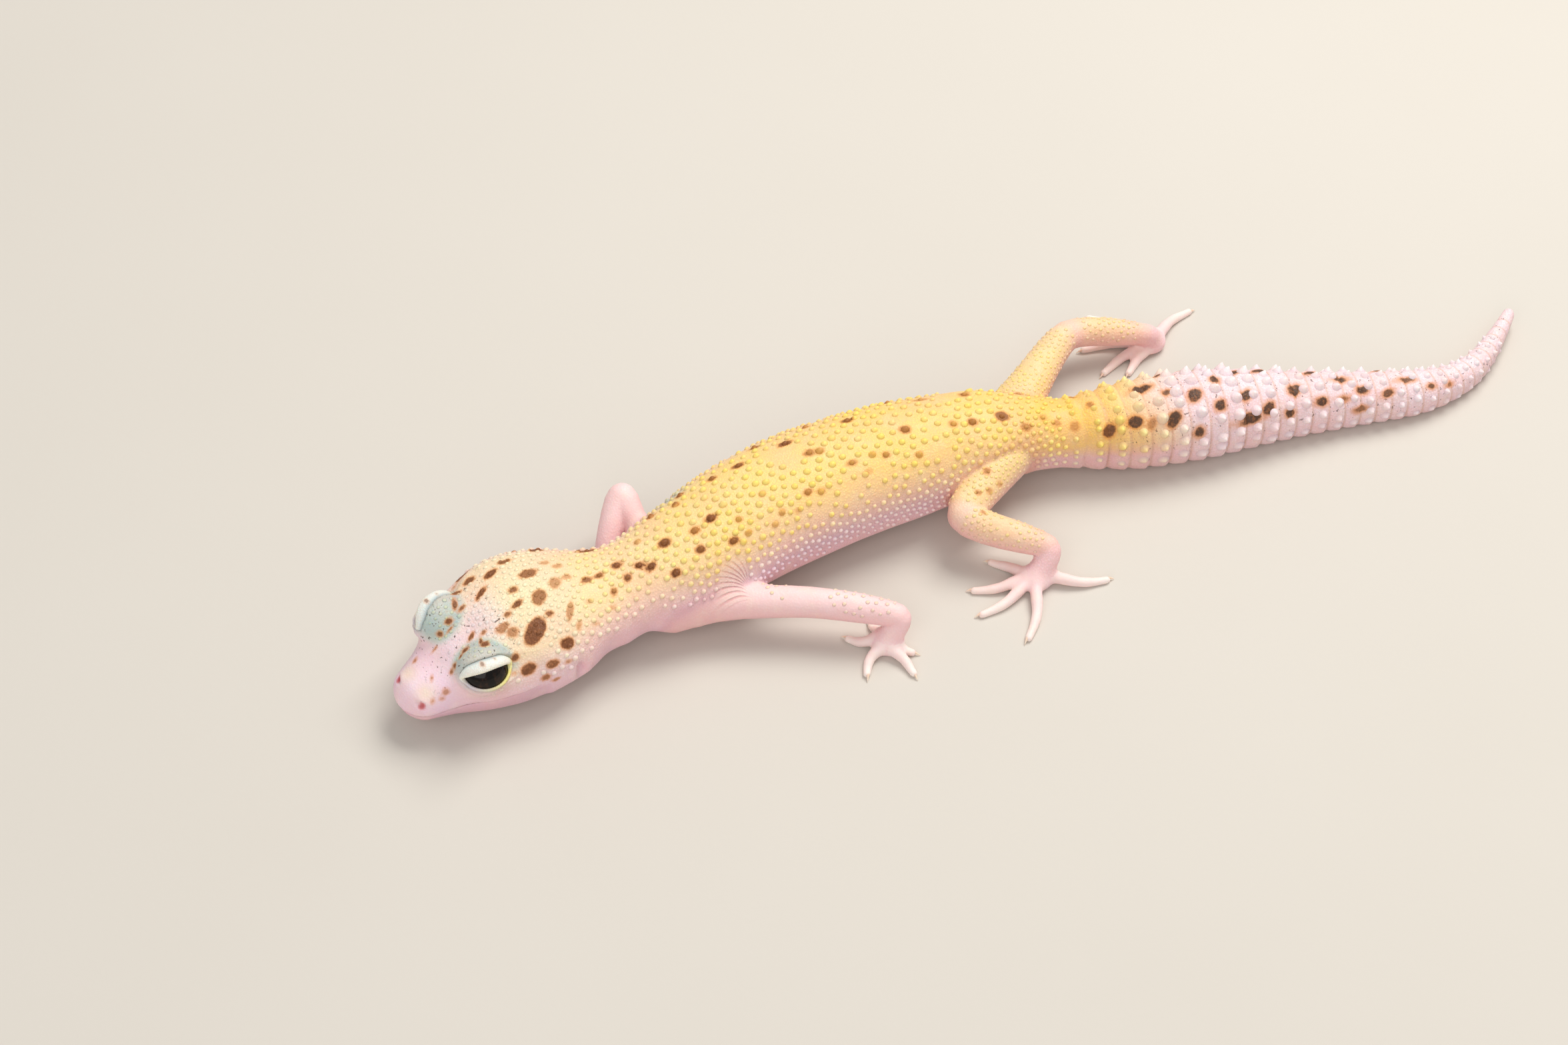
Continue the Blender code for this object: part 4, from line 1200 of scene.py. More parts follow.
def hide_finish(name, colours, on_scales):
    """Thin pale skin: soft mottling, orange-edged dark spots with paler grains in them, fine specks, thin tan
    lines of painted shade in the grooves between the tail's rings, a dark line of painted shade in the
    mouth's groove, painted shade in the armpit's creases with the ridges between them painted lighter, and a
    bump of close round grains."""
    f = Finish(name)
    spot, dark = f.attribute("spot"), f.attribute("dark")
    ring, lip, smooth = f.attribute("ring"), f.attribute("lip"), f.attribute("smooth")
    cloud = f.noise(CLOUD_SIZE, 3)
    fine = f.noise(FINE_SIZE, 2)
    grains = f.cells(GRAIN_SIZE)
    gaps = grains.between(0.30, 0.62)

    f.lay(0.22 * cloud.between(0.35, 0.7), colours.blush)
    f.lay(0.16 * f.noise(PATCH_SIZE, 2).between(0.45, 0.75), colours.cream)
    if not on_scales:
        f.lay(0.20 * gaps * (1 - smooth), colours.seam)
        # The armpit's creases: painted shade in each crease, and the skin between them painted lighter, as
        # lit ridges.
        fold = f.attribute("fold")
        crease = abs(f.attribute("fan").fraction() - 0.5).between(0.22, 0.46)
        f.lay(0.55 * fold * (1 - crease), colours.lit_fold_ridge)
        f.lay(0.45 * fold * crease, colours.fold)
    # A thin tan line at each ring's edge: painted shade in the groove between two rings.
    joint = ring.fraction()
    line = joint.between(0.16, 0.0) + joint.between(0.88, 1.0)
    f.lay(0.45 * line * ring.between(0.4, 2.5), colours.ring_groove_shade)
    flecks = f.noise(FLECK_SIZE, 2, 0.6).between(0.645, 0.69) * f.attribute("fleck")
    f.lay(0.80 * flecks, colours.tail_spot)

    on_tail = ring.between(1.0, 3.5)
    edge = spot + (f.noise(RAGGED_SIZE, 3, 0.6) - 0.5) * 0.7
    glow = edge.between(0.50 + 0.35 * on_tail, -0.15) * dark.between(0.0, 0.75)
    core = edge.between(0.14, -0.20) * dark.between(0.30, 0.95)
    brown = on_tail.mix(rgba(colours.spot), rgba(colours.tail_spot))
    f.lay(0.80 * glow, colours.spot_edge)
    f.lay(0.92 * core, brown)
    f.lay(0.45 * core * f.noise(0.5, 2).between(0.48, 0.66), colours.spot_grain)
    pale_grains = grains.between(0.30, 0.12) * core * fine.between(0.45, 0.6)
    f.lay(0.30 * pale_grains * (1 - on_tail), colours.spot_grain)
    # A dark line along the mouth: painted shade in the groove between the lips.
    mouth = lip.between(0.24, 0.07)
    f.lay(0.75 * mouth, colours.mouth)
    f.feed(Base_Color=f.colour)

    grain_depth = SCALE_GRAIN_DEPTH if on_scales else GRAIN_DEPTH
    normal = f.bump((1 - grains.between(0.05, 0.75)) * (1 - 0.75 * smooth), grain_depth)
    if not on_scales:
        normal = f.bump(f.noise(LUMP_SIZE, 3) * (1 - 0.6 * smooth), LUMP_DEPTH, normal)
        normal = f.bump(1 - crease * fold, FOLD_DEPTH, normal)
    f.feed(Normal=normal, Roughness=0.44 + 0.16 * fine + 0.06 * gaps)
    f.fix(Subsurface_Weight=0.16, Subsurface_Scale=1.4 * MM, Subsurface_Radius=(1.0, 0.45, 0.30))
    f.fix(Specular_IOR_Level=0.45)
    return f.material


def lid_finish(colours):
    """The lids: the painted tones with fine pale beads and a soft sheen."""
    f = Finish("gecko_lid")
    spot, dark = f.attribute("spot"), f.attribute("dark")
    grains = f.cells(0.26)
    f.lay(0.15 * f.noise(1.2, 2).between(0.4, 0.7), colours.lid_shade)
    f.lay(0.14 * grains.between(0.3, 0.6), colours.seam)
    edge = spot + (f.noise(0.5, 2) - 0.5) * 0.35
    f.lay(0.5 * edge.between(0.40, 0.0) * dark, colours.spot_edge)
    f.lay(0.85 * edge.between(0.08, -0.10) * dark, colours.spot)
    normal = f.bump(1 - grains.between(0.05, 0.7), SCALE_GRAIN_DEPTH)
    f.feed(Base_Color=f.colour, Normal=normal, Roughness=0.38 + 0.2 * grains)
    f.fix(Subsurface_Weight=0.15, Subsurface_Scale=1.2 * MM, Subsurface_Radius=(1.0, 0.5, 0.35))
    return f.material


def eye_finish(colours):
    """A wet, almost black eye: dark brown streaks run from the iris's edge to an upright slit pupil."""
    f = Finish("gecko_eye", colours.eye)
    ahead, up = f.attribute("ahead"), f.attribute("up")
    away = (ahead * ahead + up * up) ** 0.5
    streaks = f.noise(0.55, 4, 0.65)
    iris = away.between(3.4, 2.2) * streaks.between(0.35, 0.85)
    slit = (abs(ahead) + 0.12 * abs(up)).between(0.75, 0.45)
    f.lay(0.45 * iris * (1 - slit), colours.iris)
    f.lay(0.5 * away.between(3.6, 4.3), colours.eye_rim)
    f.feed(Base_Color=f.colour, Roughness=0.05 + 0.05 * streaks, Normal=f.bump(f.noise(0.9, 2), 0.004))
    f.fix(IOR=1.37, Specular_IOR_Level=0.42)
    return f.material


def claw_finish(colours):
    """Pale horn, more amber at the root, with fine lines along it."""
    f = Finish("gecko_claw", colours.claw_root)
    along = f.attribute("along")
    streaks = f.noise(0.18, 3)
    f.lay(along.between(0.0, 0.8), colours.claw)
    f.lay(0.3 * streaks.between(0.4, 0.7), colours.claw_root)
    f.feed(Base_Color=f.colour, Roughness=0.28 + 0.12 * streaks, Normal=f.bump(streaks, 0.01))
    f.fix(Subsurface_Weight=0.2, Subsurface_Scale=0.4 * MM)
    return f.material


def floor_finish(colours):
    """A matt pale table top with the faintest mottling."""
    f = Finish("pale_floor", colours.floor)
    cloud = f.noise(60, 4)
    f.lay(0.3 * cloud, colours.floor_shade)
    f.feed(Base_Color=f.colour, Roughness=0.75 + 0.15 * cloud, Normal=f.bump(f.noise(1.5, 3), 0.02))
    return f.material


# ---------------------------------------------------------------- skin


TAIL_NODES = ["tail_base", "tail_middle", "tail_end"]
BODY_NODES = ["head", "lower_jaw", "neck", "trunk_front", "trunk_rear", *TAIL_NODES]
LIMB_NODES = ["upper_arm", "forearm", "hand", "thigh", "shank", "foot"]
FLESH_NODES = BODY_NODES + [f"{side}_{bone}" for side in SIDES for bone in LIMB_NODES]
# The grid reaches this far beside the midline and beyond its ends, and from below the floor to over the back.
GRID_BESIDE = 13
GRID_BEYOND = 4
GRID_LOW = -1.3
GRID_HIGH = 18.2
LIMB_BOX_SPARE = 4  # a limb's box is wider than the limb by more than this
FINE_HEAD_END = 27
FINE_TOES_START = 2.6  # along the limb, where 3 is the paw


def skin_grid():
    """The field on a grid round the whole animal. Distance along the body is worked out once for each
    column, and each limb's and eye's part of it only near them, by flesh itself."""
    mid_x, mid_y, _, _ = midline(FINE)
    tips = np.vstack([limb.low for limb in LIMB_LIST] + [limb.high for limb in LIMB_LIST])
    left = max(mid_x.max() + GRID_BESIDE, tips[:, 0].max() - LIMB_BOX_SPARE)
    right = min(mid_x.min() - GRID_BESIDE, tips[:, 0].min() + LIMB_BOX_SPARE)
    low = np.array([right, mid_y.min() - GRID_BEYOND, GRID_LOW])
    high = np.array([left, mid_y.max() + GRID_BEYOND, GRID_HIGH])
    axes = [np.arange(low[k], high[k] + GRID_STEP, GRID_STEP) for k in range(3)]
    x, y = np.meshgrid(axes[0], axes[1], indexing="ij")
    s = along_body(x.ravel(), y.ravel())
    points = np.stack(np.meshgrid(*axes, indexing="ij"), axis=-1)
    shape = points.shape[:3]
    field = flesh(points.reshape(-1, 3), np.repeat(s, len(axes[2])))
    return field.reshape(shape), low


def refined(points, quads, chosen):
    """The mesh with its chosen faces cut in four, by Blender's own subdivision so that no gap opens."""
    bm = bmesh.new()
    rough = mesh_of("rough", points, quads, smooth=False)
    bm.from_mesh(rough)
    bm.faces.ensure_lookup_table()
    edges = {edge for i in np.flatnonzero(chosen) for edge in bm.faces[i].edges}
    bmesh.ops.subdivide_edges(bm, edges=list(edges), cuts=1, use_grid_fill=True)
    bmesh.ops.triangulate(bm, faces=[face for face in bm.faces if len(face.verts) > 4])
    bm.to_mesh(rough)
    bm.free()
    return rough


def skin_mesh():
    """The whole skin: surface nets on the field, its head and toes made finer, then every vertex moved onto
    the field and off the floor."""
    field, low = skin_grid()
    points, quads = surface_nets(field, low, GRID_STEP)
    middles = Places(points[quads].mean(axis=1))
    on_head = (middles.s < FINE_HEAD_END) & middles.off_limbs
    on_toes = (middles.along > FINE_TOES_START) & ~middles.off_limbs
    mesh = refined(points, quads, on_head | on_toes)
    points, _ = settled(points_of(mesh), steps=5)
    points[:, 2] = smooth_max(points[:, 2], np.full(len(points), FLOOR_GAP), 0.25)
    mesh.vertices.foreach_set("co", placed(points).astype(np.float32).ravel())
    mesh.name = "skin"
    mesh.update()
    mesh.shade_smooth()
    return mesh


def make_skin(colours):
    """The skin with its markings, in the place of every node of flesh."""
    mesh = skin_mesh()
    mark_hide(mesh, Places(points_of(mesh)), Markings())
    material = hide_finish("gecko_hide", colours, on_scales=False)
    return piece("skin", mesh, material, "back_skin", FLESH_NODES)


# ---------------------------------------------------------------- scales

SCALE_SEED = 7
# How many sides a scale has, how far it is drawn out along the body, how far its tip leans back, and the
# radius and height of each ring of its points.
ScaleKind = namedtuple("ScaleKind", "sides stretch lean rings")
DOME = ScaleKind(8, 1.12, 0.25, [(0.94, -0.60), (1.0, 0.04), (0.74, 0.50), (0.36, 0.87)])
CONE = ScaleKind(14, 1.05, 0.45, [(1.25, -0.30), (1.02, 0.05), (0.66, 0.38), (0.30, 0.78)])
# Where along the body, and how high up the side (90 on the back), the scales begin.
SCALES_BEGIN = [(0, 22), (16, 14), (22, 6), (27, 8), (30, 24), (36, 28), (42, 10), (50, -16), (106, -18)]
FIRST_SCALES = 8.5
# The wanted distance between scales by how high up the side they lie, on the head, neck, trunk and rump,
# each after the places along the body between which it takes over from the one before.
SNOUT_GAP = 0.85
SCALE_GAPS = [
    (8, 14, [(0, 1.3), (30, 1.45), (60, 1.25), (90, 1.1)]),
    (28, 34, [(-20, 1.2), (30, 1.4), (90, 1.55)]),
    (38, 48, [(-30, 1.05), (0, 1.08), (20, 1.30), (45, 1.70), (90, 2.0)]),
    (98, 106, [(0, 1.35)]),
]
LEAST_GAP = 0.9
ELBOW = 1.02  # along a limb, of its elbow or knee
# A scale's radius against its gap, by how high up the side it lies, and its height against its radius, by
# how far along the body; those of the limbs and the crown are lower.
SCALE_WIDTHS = [(0, 0.31), (25, 0.29), (60, 0.26)]
SCALE_HEIGHTS = [(0, 0.12), (8, 0.24), (16, 0.58), (32, 0.74), (46, 0.84)]
WIDTH_SCATTER = 0.09
TONE_SCATTER = 0.012
LIMB_WIDTH = 0.82
LIMB_HEIGHT = 0.5
CROWN_LOWERING = 0.30
HEAD_END = 40
TRUNK_END = 72
# How much closer and narrower the tail's scales are at its root, by how far along the body.
TAIL_GAPS = [(110, 0.62), (118, 0.76), (128, 1.0)]
TAIL_WIDTHS = [(110, 0.62), (118, 0.78), (128, 1.0)]
TAIL_ROW = 0.60  # share of a ring in front of its row of scales
TAIL_ARC = (-8, 188)  # angles round between which a row runs
# How sites are spread: the room that two ask of each other against their gaps together, the share of what
# is missing that they move by, and the most that one moves by against its gap.
ROOM = 0.52
PUSH = 0.30
MOST_MOVE = 0.35
# The flattened skin: where the body's band starts and how far it goes, each way, and the same for a limb's.
BODY_BAND = ((0.015, 0.97), (0.015, 0.45))
LIMB_BAND = ((0.02, 0.20), (0.50, 0.47))
LIMB_BAND_STEP = 0.22
SCALE_PATCH = 0.0015  # half the side of a scale's own square there


def unwrap(place):
    """Where a place lies on the flattened skin: the body is one long band, and each limb a short one."""
    (u_start, u_reach), (v_start, v_reach) = BODY_BAND
    u = u_start + u_reach * np.clip(place.s, 0, TAIL_TIP) / TAIL_TIP
    v = v_start + v_reach * ((place.angle + 90) % 360) / 360
    (u_start, u_reach), (v_start, v_reach) = LIMB_BAND
    for limb in LIMB_LIST:
        x, y, z = (place.points[:, k] - np.interp(place.along, limb.at, limb.bone[:, k]) for k in range(3))
        round_it = np.degrees(np.arctan2(z, x + y)) % 360
        mine = place.which == limb.number
        u = np.where(mine, u_start + LIMB_BAND_STEP * limb.number + u_reach * round_it / 360, u)
        v = np.where(mine, v_start + v_reach * place.along / 4, v)
    return np.stack([u, v], axis=1)


def scale_shape(kind):
    """The points of one scale of radius 1 and height 1: rings round its axis, and its tip."""
    turn = round_circle(kind.sides)
    rings = [(r * math.cos(a), r * math.sin(a), h) for r, h in kind.rings for a in turn]
    return np.array(rings + [(0, 0, 1.0)])


def scale_faces(kind, number):
    """The faces of that many scales: bands of quads, triangles up to the tip and one face under the foot."""
    last = (len(kind.rings) - 1) * kind.sides
    count = last + kind.sides + 1
    j = np.arange(kind.sides)
    tip = np.stack([last + j, last + (j + 1) % kind.sides, np.full(kind.sides, count - 1)], axis=1)
    first = np.arange(number)[:, None, None] * count
    groups = (grid_faces(len(kind.rings), kind.sides), tip, j[::-1][None])
    return [(faces[None] + first).reshape(-1, faces.shape[1])[:, ::-1] for faces in groups]


def scales_mesh(name, sites, normals, radius, height, markings, kind=DOME):
    """Closed scales, one at each site round the skin's normal, drawn out along the body and leaning back
    towards the tail. Each takes the hide's tone at its foot and its own towards its tip."""
    shape = scale_shape(kind)
    back, across = lie_of(sites, normals)
    x, y, z = (shape[None, :, axis, None] for axis in range(3))
    wide, tall = radius[:, None, None], height[:, None, None]
    drawn = (y * kind.stretch + kind.lean * np.maximum(z, 0) ** 2) * wide
    points = sites[:, None] + across[:, None] * x * wide + back[:, None] * drawn + normals[:, None] * z * tall
    points = points.reshape(-1, 3)
    mesh = mesh_of(name, points, scale_faces(kind, len(sites)))
    place = Places(sites)
    count = len(shape)
    up = np.tile(shape[:, 2], len(sites))
    rng = np.random.default_rng(SCALE_SEED + len(sites))
    own = skin_tones(place, scale=True)
    own = np.clip(own * (1 + rng.normal(0, TONE_SCATTER, (len(sites), 1))), 0, 255)
    around = np.repeat(skin_tones(place), count, axis=0)
    tone = mixed(np.repeat(own, count, axis=0), around, 0.9 * ramp(0.75, 0.0, up))
    spot, dark = markings.at(points)
    off_whorls = ramp(WHORL_START + 3, WHORL_START - 1, place.s)
    ring = np.floor(ring_number(place.s)) + 0.5 * (ring_number(place.s) > 0)
    paint(
        # Each scale is painted a tenth darker towards its foot: painted shade where it meets the skin.
        mesh,
        tone=linear(tone) * (0.90 + 0.10 * np.clip(up, 0, 1))[:, None],
        spot=spot,
        dark=dark * np.repeat(off_whorls, count),
        ring=np.repeat(ring * place.off_limbs, count),
        lip=np.full(len(points), NO_LIP),
        smooth=np.zeros(len(points)),
    )
    patch = np.repeat(unwrap(place), count, axis=0) + np.tile(shape[:, :2], (len(sites), 1)) * SCALE_PATCH
    corner = np.empty(len(mesh.loops), np.int32)
    mesh.loops.foreach_get("vertex_index", corner)
    layer = mesh.uv_layers.new(name="OFBake")
    layer.data.foreach_set("uv", patch[corner].astype(np.float32).ravel())
    return mesh


def scale_gaps(place, normals):
    """The wanted distance between scales at each place, and 0 where the skin is bare."""
    s, lift, along = place.s, place.lift, place.along
    gap = np.full(len(s), SNOUT_GAP)
    for start, end, table in SCALE_GAPS:
        gap = gap + (by_table(table, lift) - gap) * ramp(start, end, s)
    lowest = by_table(SCALES_BEGIN, s) + 5 * np.sin(1.7 * s) * ramp(50, 44, s)
    bare = (lift < lowest) | (s > WHORL_START + 0.6) | (s < FIRST_SCALES)
    bare |= (s < 18) & (np.abs(place.height - mouth_height(s)) < 1.3)
    bare |= armpit_fan(s, place.out, place.height)[1] > 0.4
    for eye in EYES.values():
        near = np.linalg.norm(place.points - eye.centre, axis=1) < EYE_REACH
        ahead, up, _ = eye.chart(place.points)
        bare |= near & (outside_loop(ahead, up, LID_EDGE_LOOP) < 0.45)
    from_ear = [(s - EAR[0]) / 1.1, np.abs(place.out) - EAR[1], (place.height - EAR[2]) / 1.6]
    bare |= (np.linalg.norm(from_ear, axis=0) < 1.3) & (np.abs(s - EAR[0]) < 2)
    hind = np.isin(place.which, [limb.number for limb in LIMB_LIST if limb.hind])
    leg = np.where(hind, 1.0 + 0.5 * bell(along, ELBOW, 0.15), 1.2)
    upward = normals[:, 2] > np.where(hind, -0.05, 0.35)
    elbow = np.abs(along - ELBOW) < np.where(hind, 0.10, 0.22)
    far_arm = place.which == list(LIMBS).index("right_hand")
    on_leg = (along < 1.9) & upward & ~elbow & (hind | (along > 0.6)) & ~far_arm
    return np.where(place.share > 0.5, np.where(on_leg, leg, 0), np.where(bare, 0, gap))


def spread(points, gaps, held, rounds=14):
    """Sites pushed apart until each has its own room: every two that are nearer than the mean of their gaps
    move away from each other by a share of what is missing, and are set back on the skin."""
    for turn in range(rounds):
        p = points.astype(np.float32)
        wanted = (gaps[:, None] + gaps[None, :]).astype(np.float32) * ROOM
        away = [p[:, None, k] - p[None, :, k] for k in range(3)]
        distance = np.sqrt(away[0] ** 2 + away[1] ** 2 + away[2] ** 2) + 1e-4
        push = np.maximum(wanted - distance, 0) / distance
        np.fill_diagonal(push, 0)
        move = np.stack([(push * a).sum(axis=1) for a in away], axis=1) * PUSH
        most = MOST_MOVE * gaps[:, None]
        length = np.linalg.norm(move, axis=1, keepdims=True)
        move *= np.minimum(1, most / np.maximum(length, 1e-6))
        points = points + np.where(held[:, None], 0, move)
        if turn % 4 == 3:
            points, _ = settled(points, steps=2)
    return settled(points, steps=3)


def faces_of(mesh):
    """Every face's area, middle and normal, in millimetres in the animal's own frame."""
    count = len(mesh.polygons)
    area, centre, normal = np.empty(count), np.empty(count * 3), np.empty(count * 3)
    mesh.polygons.foreach_get("area", area)
    mesh.polygons.foreach_get("center", centre)
    mesh.polygons.foreach_get("normal", normal)
    return area / MM**2, centre.reshape(-1, 3) / MM - SHIFT, normal.reshape(-1, 3)


def scale_sites(markings):
    """Places for the scales on head, neck, trunk and limbs: drawn by lot over the skin's faces, as dense as
    the wanted gap asks, with one held in the middle of every spot on the trunk, and then spread out."""
    area, centre, normal = faces_of(bpy.data.objects["skin"].data)
    gap = scale_gaps(Places(centre), normal)
    weight = np.where(gap > 0, area / np.maximum(gap, 0.1) ** 2, 0)
    rng = np.random.default_rng(SCALE_SEED)
    chosen = rng.choice(len(area), size=int(weight.sum() * 1.05), replace=False, p=weight / weight.sum())
    on_trunk = (markings.station > 32) & (markings.station < 107) & (markings.size > 0.4)
    points = np.vstack([markings.centre[on_trunk], centre[chosen]])
    normals = np.vstack([np.tile((0, 0, 1), (on_trunk.sum(), 1)), normal[chosen]])
    held = np.arange(len(points)) < on_trunk.sum()
    gaps = np.maximum(scale_gaps(Places(points), normals), LEAST_GAP)
    points, normals = spread(points, gaps, held)
    gaps = scale_gaps(Places(points), normals)
    kept = gaps > 0
    return points[kept], normals[kept], gaps[kept]


def make_scales(sizes, colours):
    """The round scales over head, trunk and limbs, as four pieces, and the tail's pointed ones."""
    markings = Markings()
    material = hide_finish("gecko_scale", colours, on_scales=True)
    points, normals, gaps = scale_sites(markings)
    place = Places(points)
    s, lift, on_limb = place.s, place.lift, place.share > 0.5
    rng = np.random.default_rng(SCALE_SEED + 1)
    varied = 1 + rng.normal(0, WIDTH_SCATTER, len(points))
    radius = by_table(SCALE_WIDTHS, lift) * gaps * varied * sizes.scale_width
    radius = np.where(on_limb, LIMB_WIDTH * radius, radius)
    crown = ramp(40, 75, lift) * ramp(32, 24, s)
    tall = np.where(on_limb, LIMB_HEIGHT, by_table(SCALE_HEIGHTS, s) * (1 - CROWN_LOWERING * crown))
    height = radius * tall * sizes.scale_height
    groups = {
        "trunk_scales": (~on_limb & (s >= HEAD_END) & (s < TRUNK_END), "back_skin"),
        "rump_scales": (~on_limb & (s >= TRUNK_END), "back_skin"),
        "head_scales": (~on_limb & (s < HEAD_END), "head_skin"),
        "limb_scales": (on_limb, "limb_skin"),
    }
    for name, (mine, slot) in groups.items():
        mesh = scales_mesh(name, points[mine], normals[mine], radius[mine], height[mine], markings)
        piece(name, mesh, material, slot)
    make_tail_scales(sizes, markings, material)


def make_tail_scales(sizes, markings, material):
    """A row of pointed scales over the rear half of each of the tail's rings, from one side over the back to
    the other, fewer as the tail thins."""
    rng = np.random.default_rng(SCALE_SEED + 2)
    rows = []
    for ring in range(len(RING_STARTS) - 4):
        start, end = RING_STARTS[ring : ring + 2]
        at = start + TAIL_ROW * (end - start)
        half = float(np.interp(at, FINE, OUTLINE[0]))
        apart = (0.75 + 0.25 * half) * by_table(TAIL_GAPS, at)
        number = max(4, round(200 / 360 * 2 * math.pi * half / apart))
        angles = np.linspace(*TAIL_ARC, number) + rng.normal(0, 3.0, number) + 6 * (ring % 2) - 3
        rows.append(np.column_stack([np.full(number, at), angles, np.full(number, half)]))
    at, angle, half = np.vstack(rows).T
    sites, normals = settled(section_points(at, angle), steps=4)
    clear = markings.at(sites)[0] > 0.25
    sites, normals, at, angle, half = (row[clear] for row in (sites, normals, at, angle, half))
    grow = by_table(TAIL_WIDTHS, at) * (1 + rng.normal(0, 0.08, len(at)))
    radius = (0.26 + 0.088 * half) * grow * sizes.scale_width
    height = radius * (0.40 + 0.72 * ramp(-25, 25, lift_of(angle))) * sizes.scale_height
    mesh = scales_mesh("tail_scales", sites, normals, radius, height, markings, CONE)
    piece("tail_scales", mesh, material, "tail_skin")


# ---------------------------------------------------------------- lids, eyes and claws

LID_SAMPLES = 360
LID_BEADS = 84
BEAD_HEIGHT = 0.022
# Across the lid: share of the way from its margin to its edge, and height over the eyeball.
LID_PROFILE = [
    (0.14, -0.04), (0.02, 0.06), (-0.05, 0.26), (-0.06, 0.48), (0.00, 0.66), (0.10, 0.76), (0.24, 0.82),
    (0.42, 0.80), (0.60, 0.70), (0.76, 0.54), (0.88, 0.34), (0.98, 0.12), (1.06, -0.10), (1.04, -0.34),
    (0.55, -0.30),
]
LOWER_LID_HEIGHT = 0.50
# Colours by the share of the way across the lid, and the yellow of the corner between the lids. Towards the
# outer edge, where the lids meet the brow, they darken to blue grey: painted shade in the groove there.
LID_UPPER = [
    (0.0, (254, 250, 232)), (0.12, (252, 250, 238)), (0.30, (244, 247, 240)), (0.60, (232, 240, 234)),
    (0.82, (186, 203, 205)), (1.0, (128, 142, 148)),
]
LID_LOWER_FRONT = [(0.0, (216, 208, 214)), (0.4, (206, 196, 208)), (1.0, (186, 176, 192))]
LID_LOWER_REAR = [(0.0, (246, 232, 120)), (0.4, (240, 226, 130)), (1.0, (206, 200, 176))]
LID_CORNER = (236, 226, 140)
# A spot's share of the way round from the front, share across, size and darkness.
LID_SPOTS = [(0.20, 0.52, 0.34, 0.7), (0.29, 0.62, 0.16, 0.5)]
LID_ROUND = 26  # millimetres round a lid, and across it
LID_ACROSS = 1.9


def lid_ring(eye):
    """One eye's lids as a closed ring: LID_PROFILE carried round from LID_MARGIN to LID_EDGE, lower below the
    eye, with a row of beads along the margin. Gives its points and, for each, its colour, its distance to a
    spot and how dark that is."""
    margin = loop_through(LID_MARGIN, LID_SAMPLES)
    edge = loop_through(LID_EDGE, LID_SAMPLES)
    share = np.arange(LID_SAMPLES)[:, None] / LID_SAMPLES
    corner = 5.0 / len(LID_MARGIN)
    lower = ramp(corner - 0.02, corner + 0.10, share) * ramp(1.0, 0.88, share)
    across, over = np.array(LID_PROFILE).T
    height = over * (1 + (LOWER_LID_HEIGHT - 1) * lower * (over > 0))
    beads = np.cos(2 * math.pi * LID_BEADS * share) * bell(across, 0.02, 0.14) * (over > 0.3) * (1 - lower)
    height = height + BEAD_HEIGHT * beads
    way = across - 0.010 * beads
    flat = margin[:, None] + (edge - margin)[:, None] * way[:, :, None]
    points = eye.points(flat[..., 0], flat[..., 1], height)
    colour = tones(LID_UPPER, np.broadcast_to(across, height.shape))
    front, rear = tones(LID_LOWER_FRONT, across), tones(LID_LOWER_REAR, across)
    below = front + (rear - front) * ramp(0.86, 0.50, share)[:, :, None]
    colour = colour + (below - colour) * lower[:, :, None]
    colour = colour + (np.array(LID_CORNER) - colour) * (0.8 * bell(share, corner, 0.035))[:, :, None]
    spot = np.full(height.shape, 3.0)
    dark = np.zeros(height.shape)
    for at, over_it, size, darkness in LID_SPOTS:
        gap = np.hypot((share - at) * LID_ROUND, (across - over_it) * LID_ACROSS) - size
        dark = np.where(gap < spot, darkness, dark)
        spot = np.minimum(spot, gap)
    return points.reshape(-1, 3), colour.reshape(-1, 3), spot.ravel(), dark.ravel()


def make_lids(colours):
    """Both eyes' lids as one mesh."""
    rings = [lid_ring(eye) for eye in EYES.values()]
    quads = grid_faces(LID_SAMPLES, len(LID_PROFILE), wrap_rows=True)
    faces = []
    for number, eye in enumerate(EYES.values()):
        faces.append((quads if eye.side > 0 else quads[:, ::-1]) + number * len(rings[0][0]))
    points, colour, spot, dark = (np.concatenate(rows) for rows in zip(*rings))
    mesh = mesh_of("eyelids", points, np.vstack(faces))
    turn_outwards(mesh)
    paint(mesh, tone=linear(np.clip(colour, 0, 255)), spot=spot, dark=dark)
    return piece("eyelids", mesh, lid_finish(colours), "head_skin")


def turn_outwards(mesh):
    """Makes every closed shell of the mesh face outwards."""
    bm = bmesh.new()
    bm.from_mesh(mesh)
    bmesh.ops.recalc_face_normals(bm, faces=bm.faces)
    bm.to_mesh(mesh)
    bm.free()


def closed_rings(rings):
    """Points and faces over rings of points whose first and last rings are drawn together to a point."""
    count, sides = rings.shape[:2]
    middle = rings[1:-1].reshape(-1, 3)
    points = np.vstack([middle, rings[0].mean(axis=0), rings[-1].mean(axis=0)])
    j = np.arange(sides)
    start, end = len(middle), len(middle) + 1
    last = (count - 3) * sides
    front = np.stack([np.full(sides, start), (j + 1) % sides, j], axis=1)
    rear = np.stack([np.full(sides, end), last + j, last + (j + 1) % sides], axis=1)
    return points, [grid_faces(count - 2, sides), np.vstack([front, rear])]


EYE_RINGS = 41
EYE_SIDES = 56


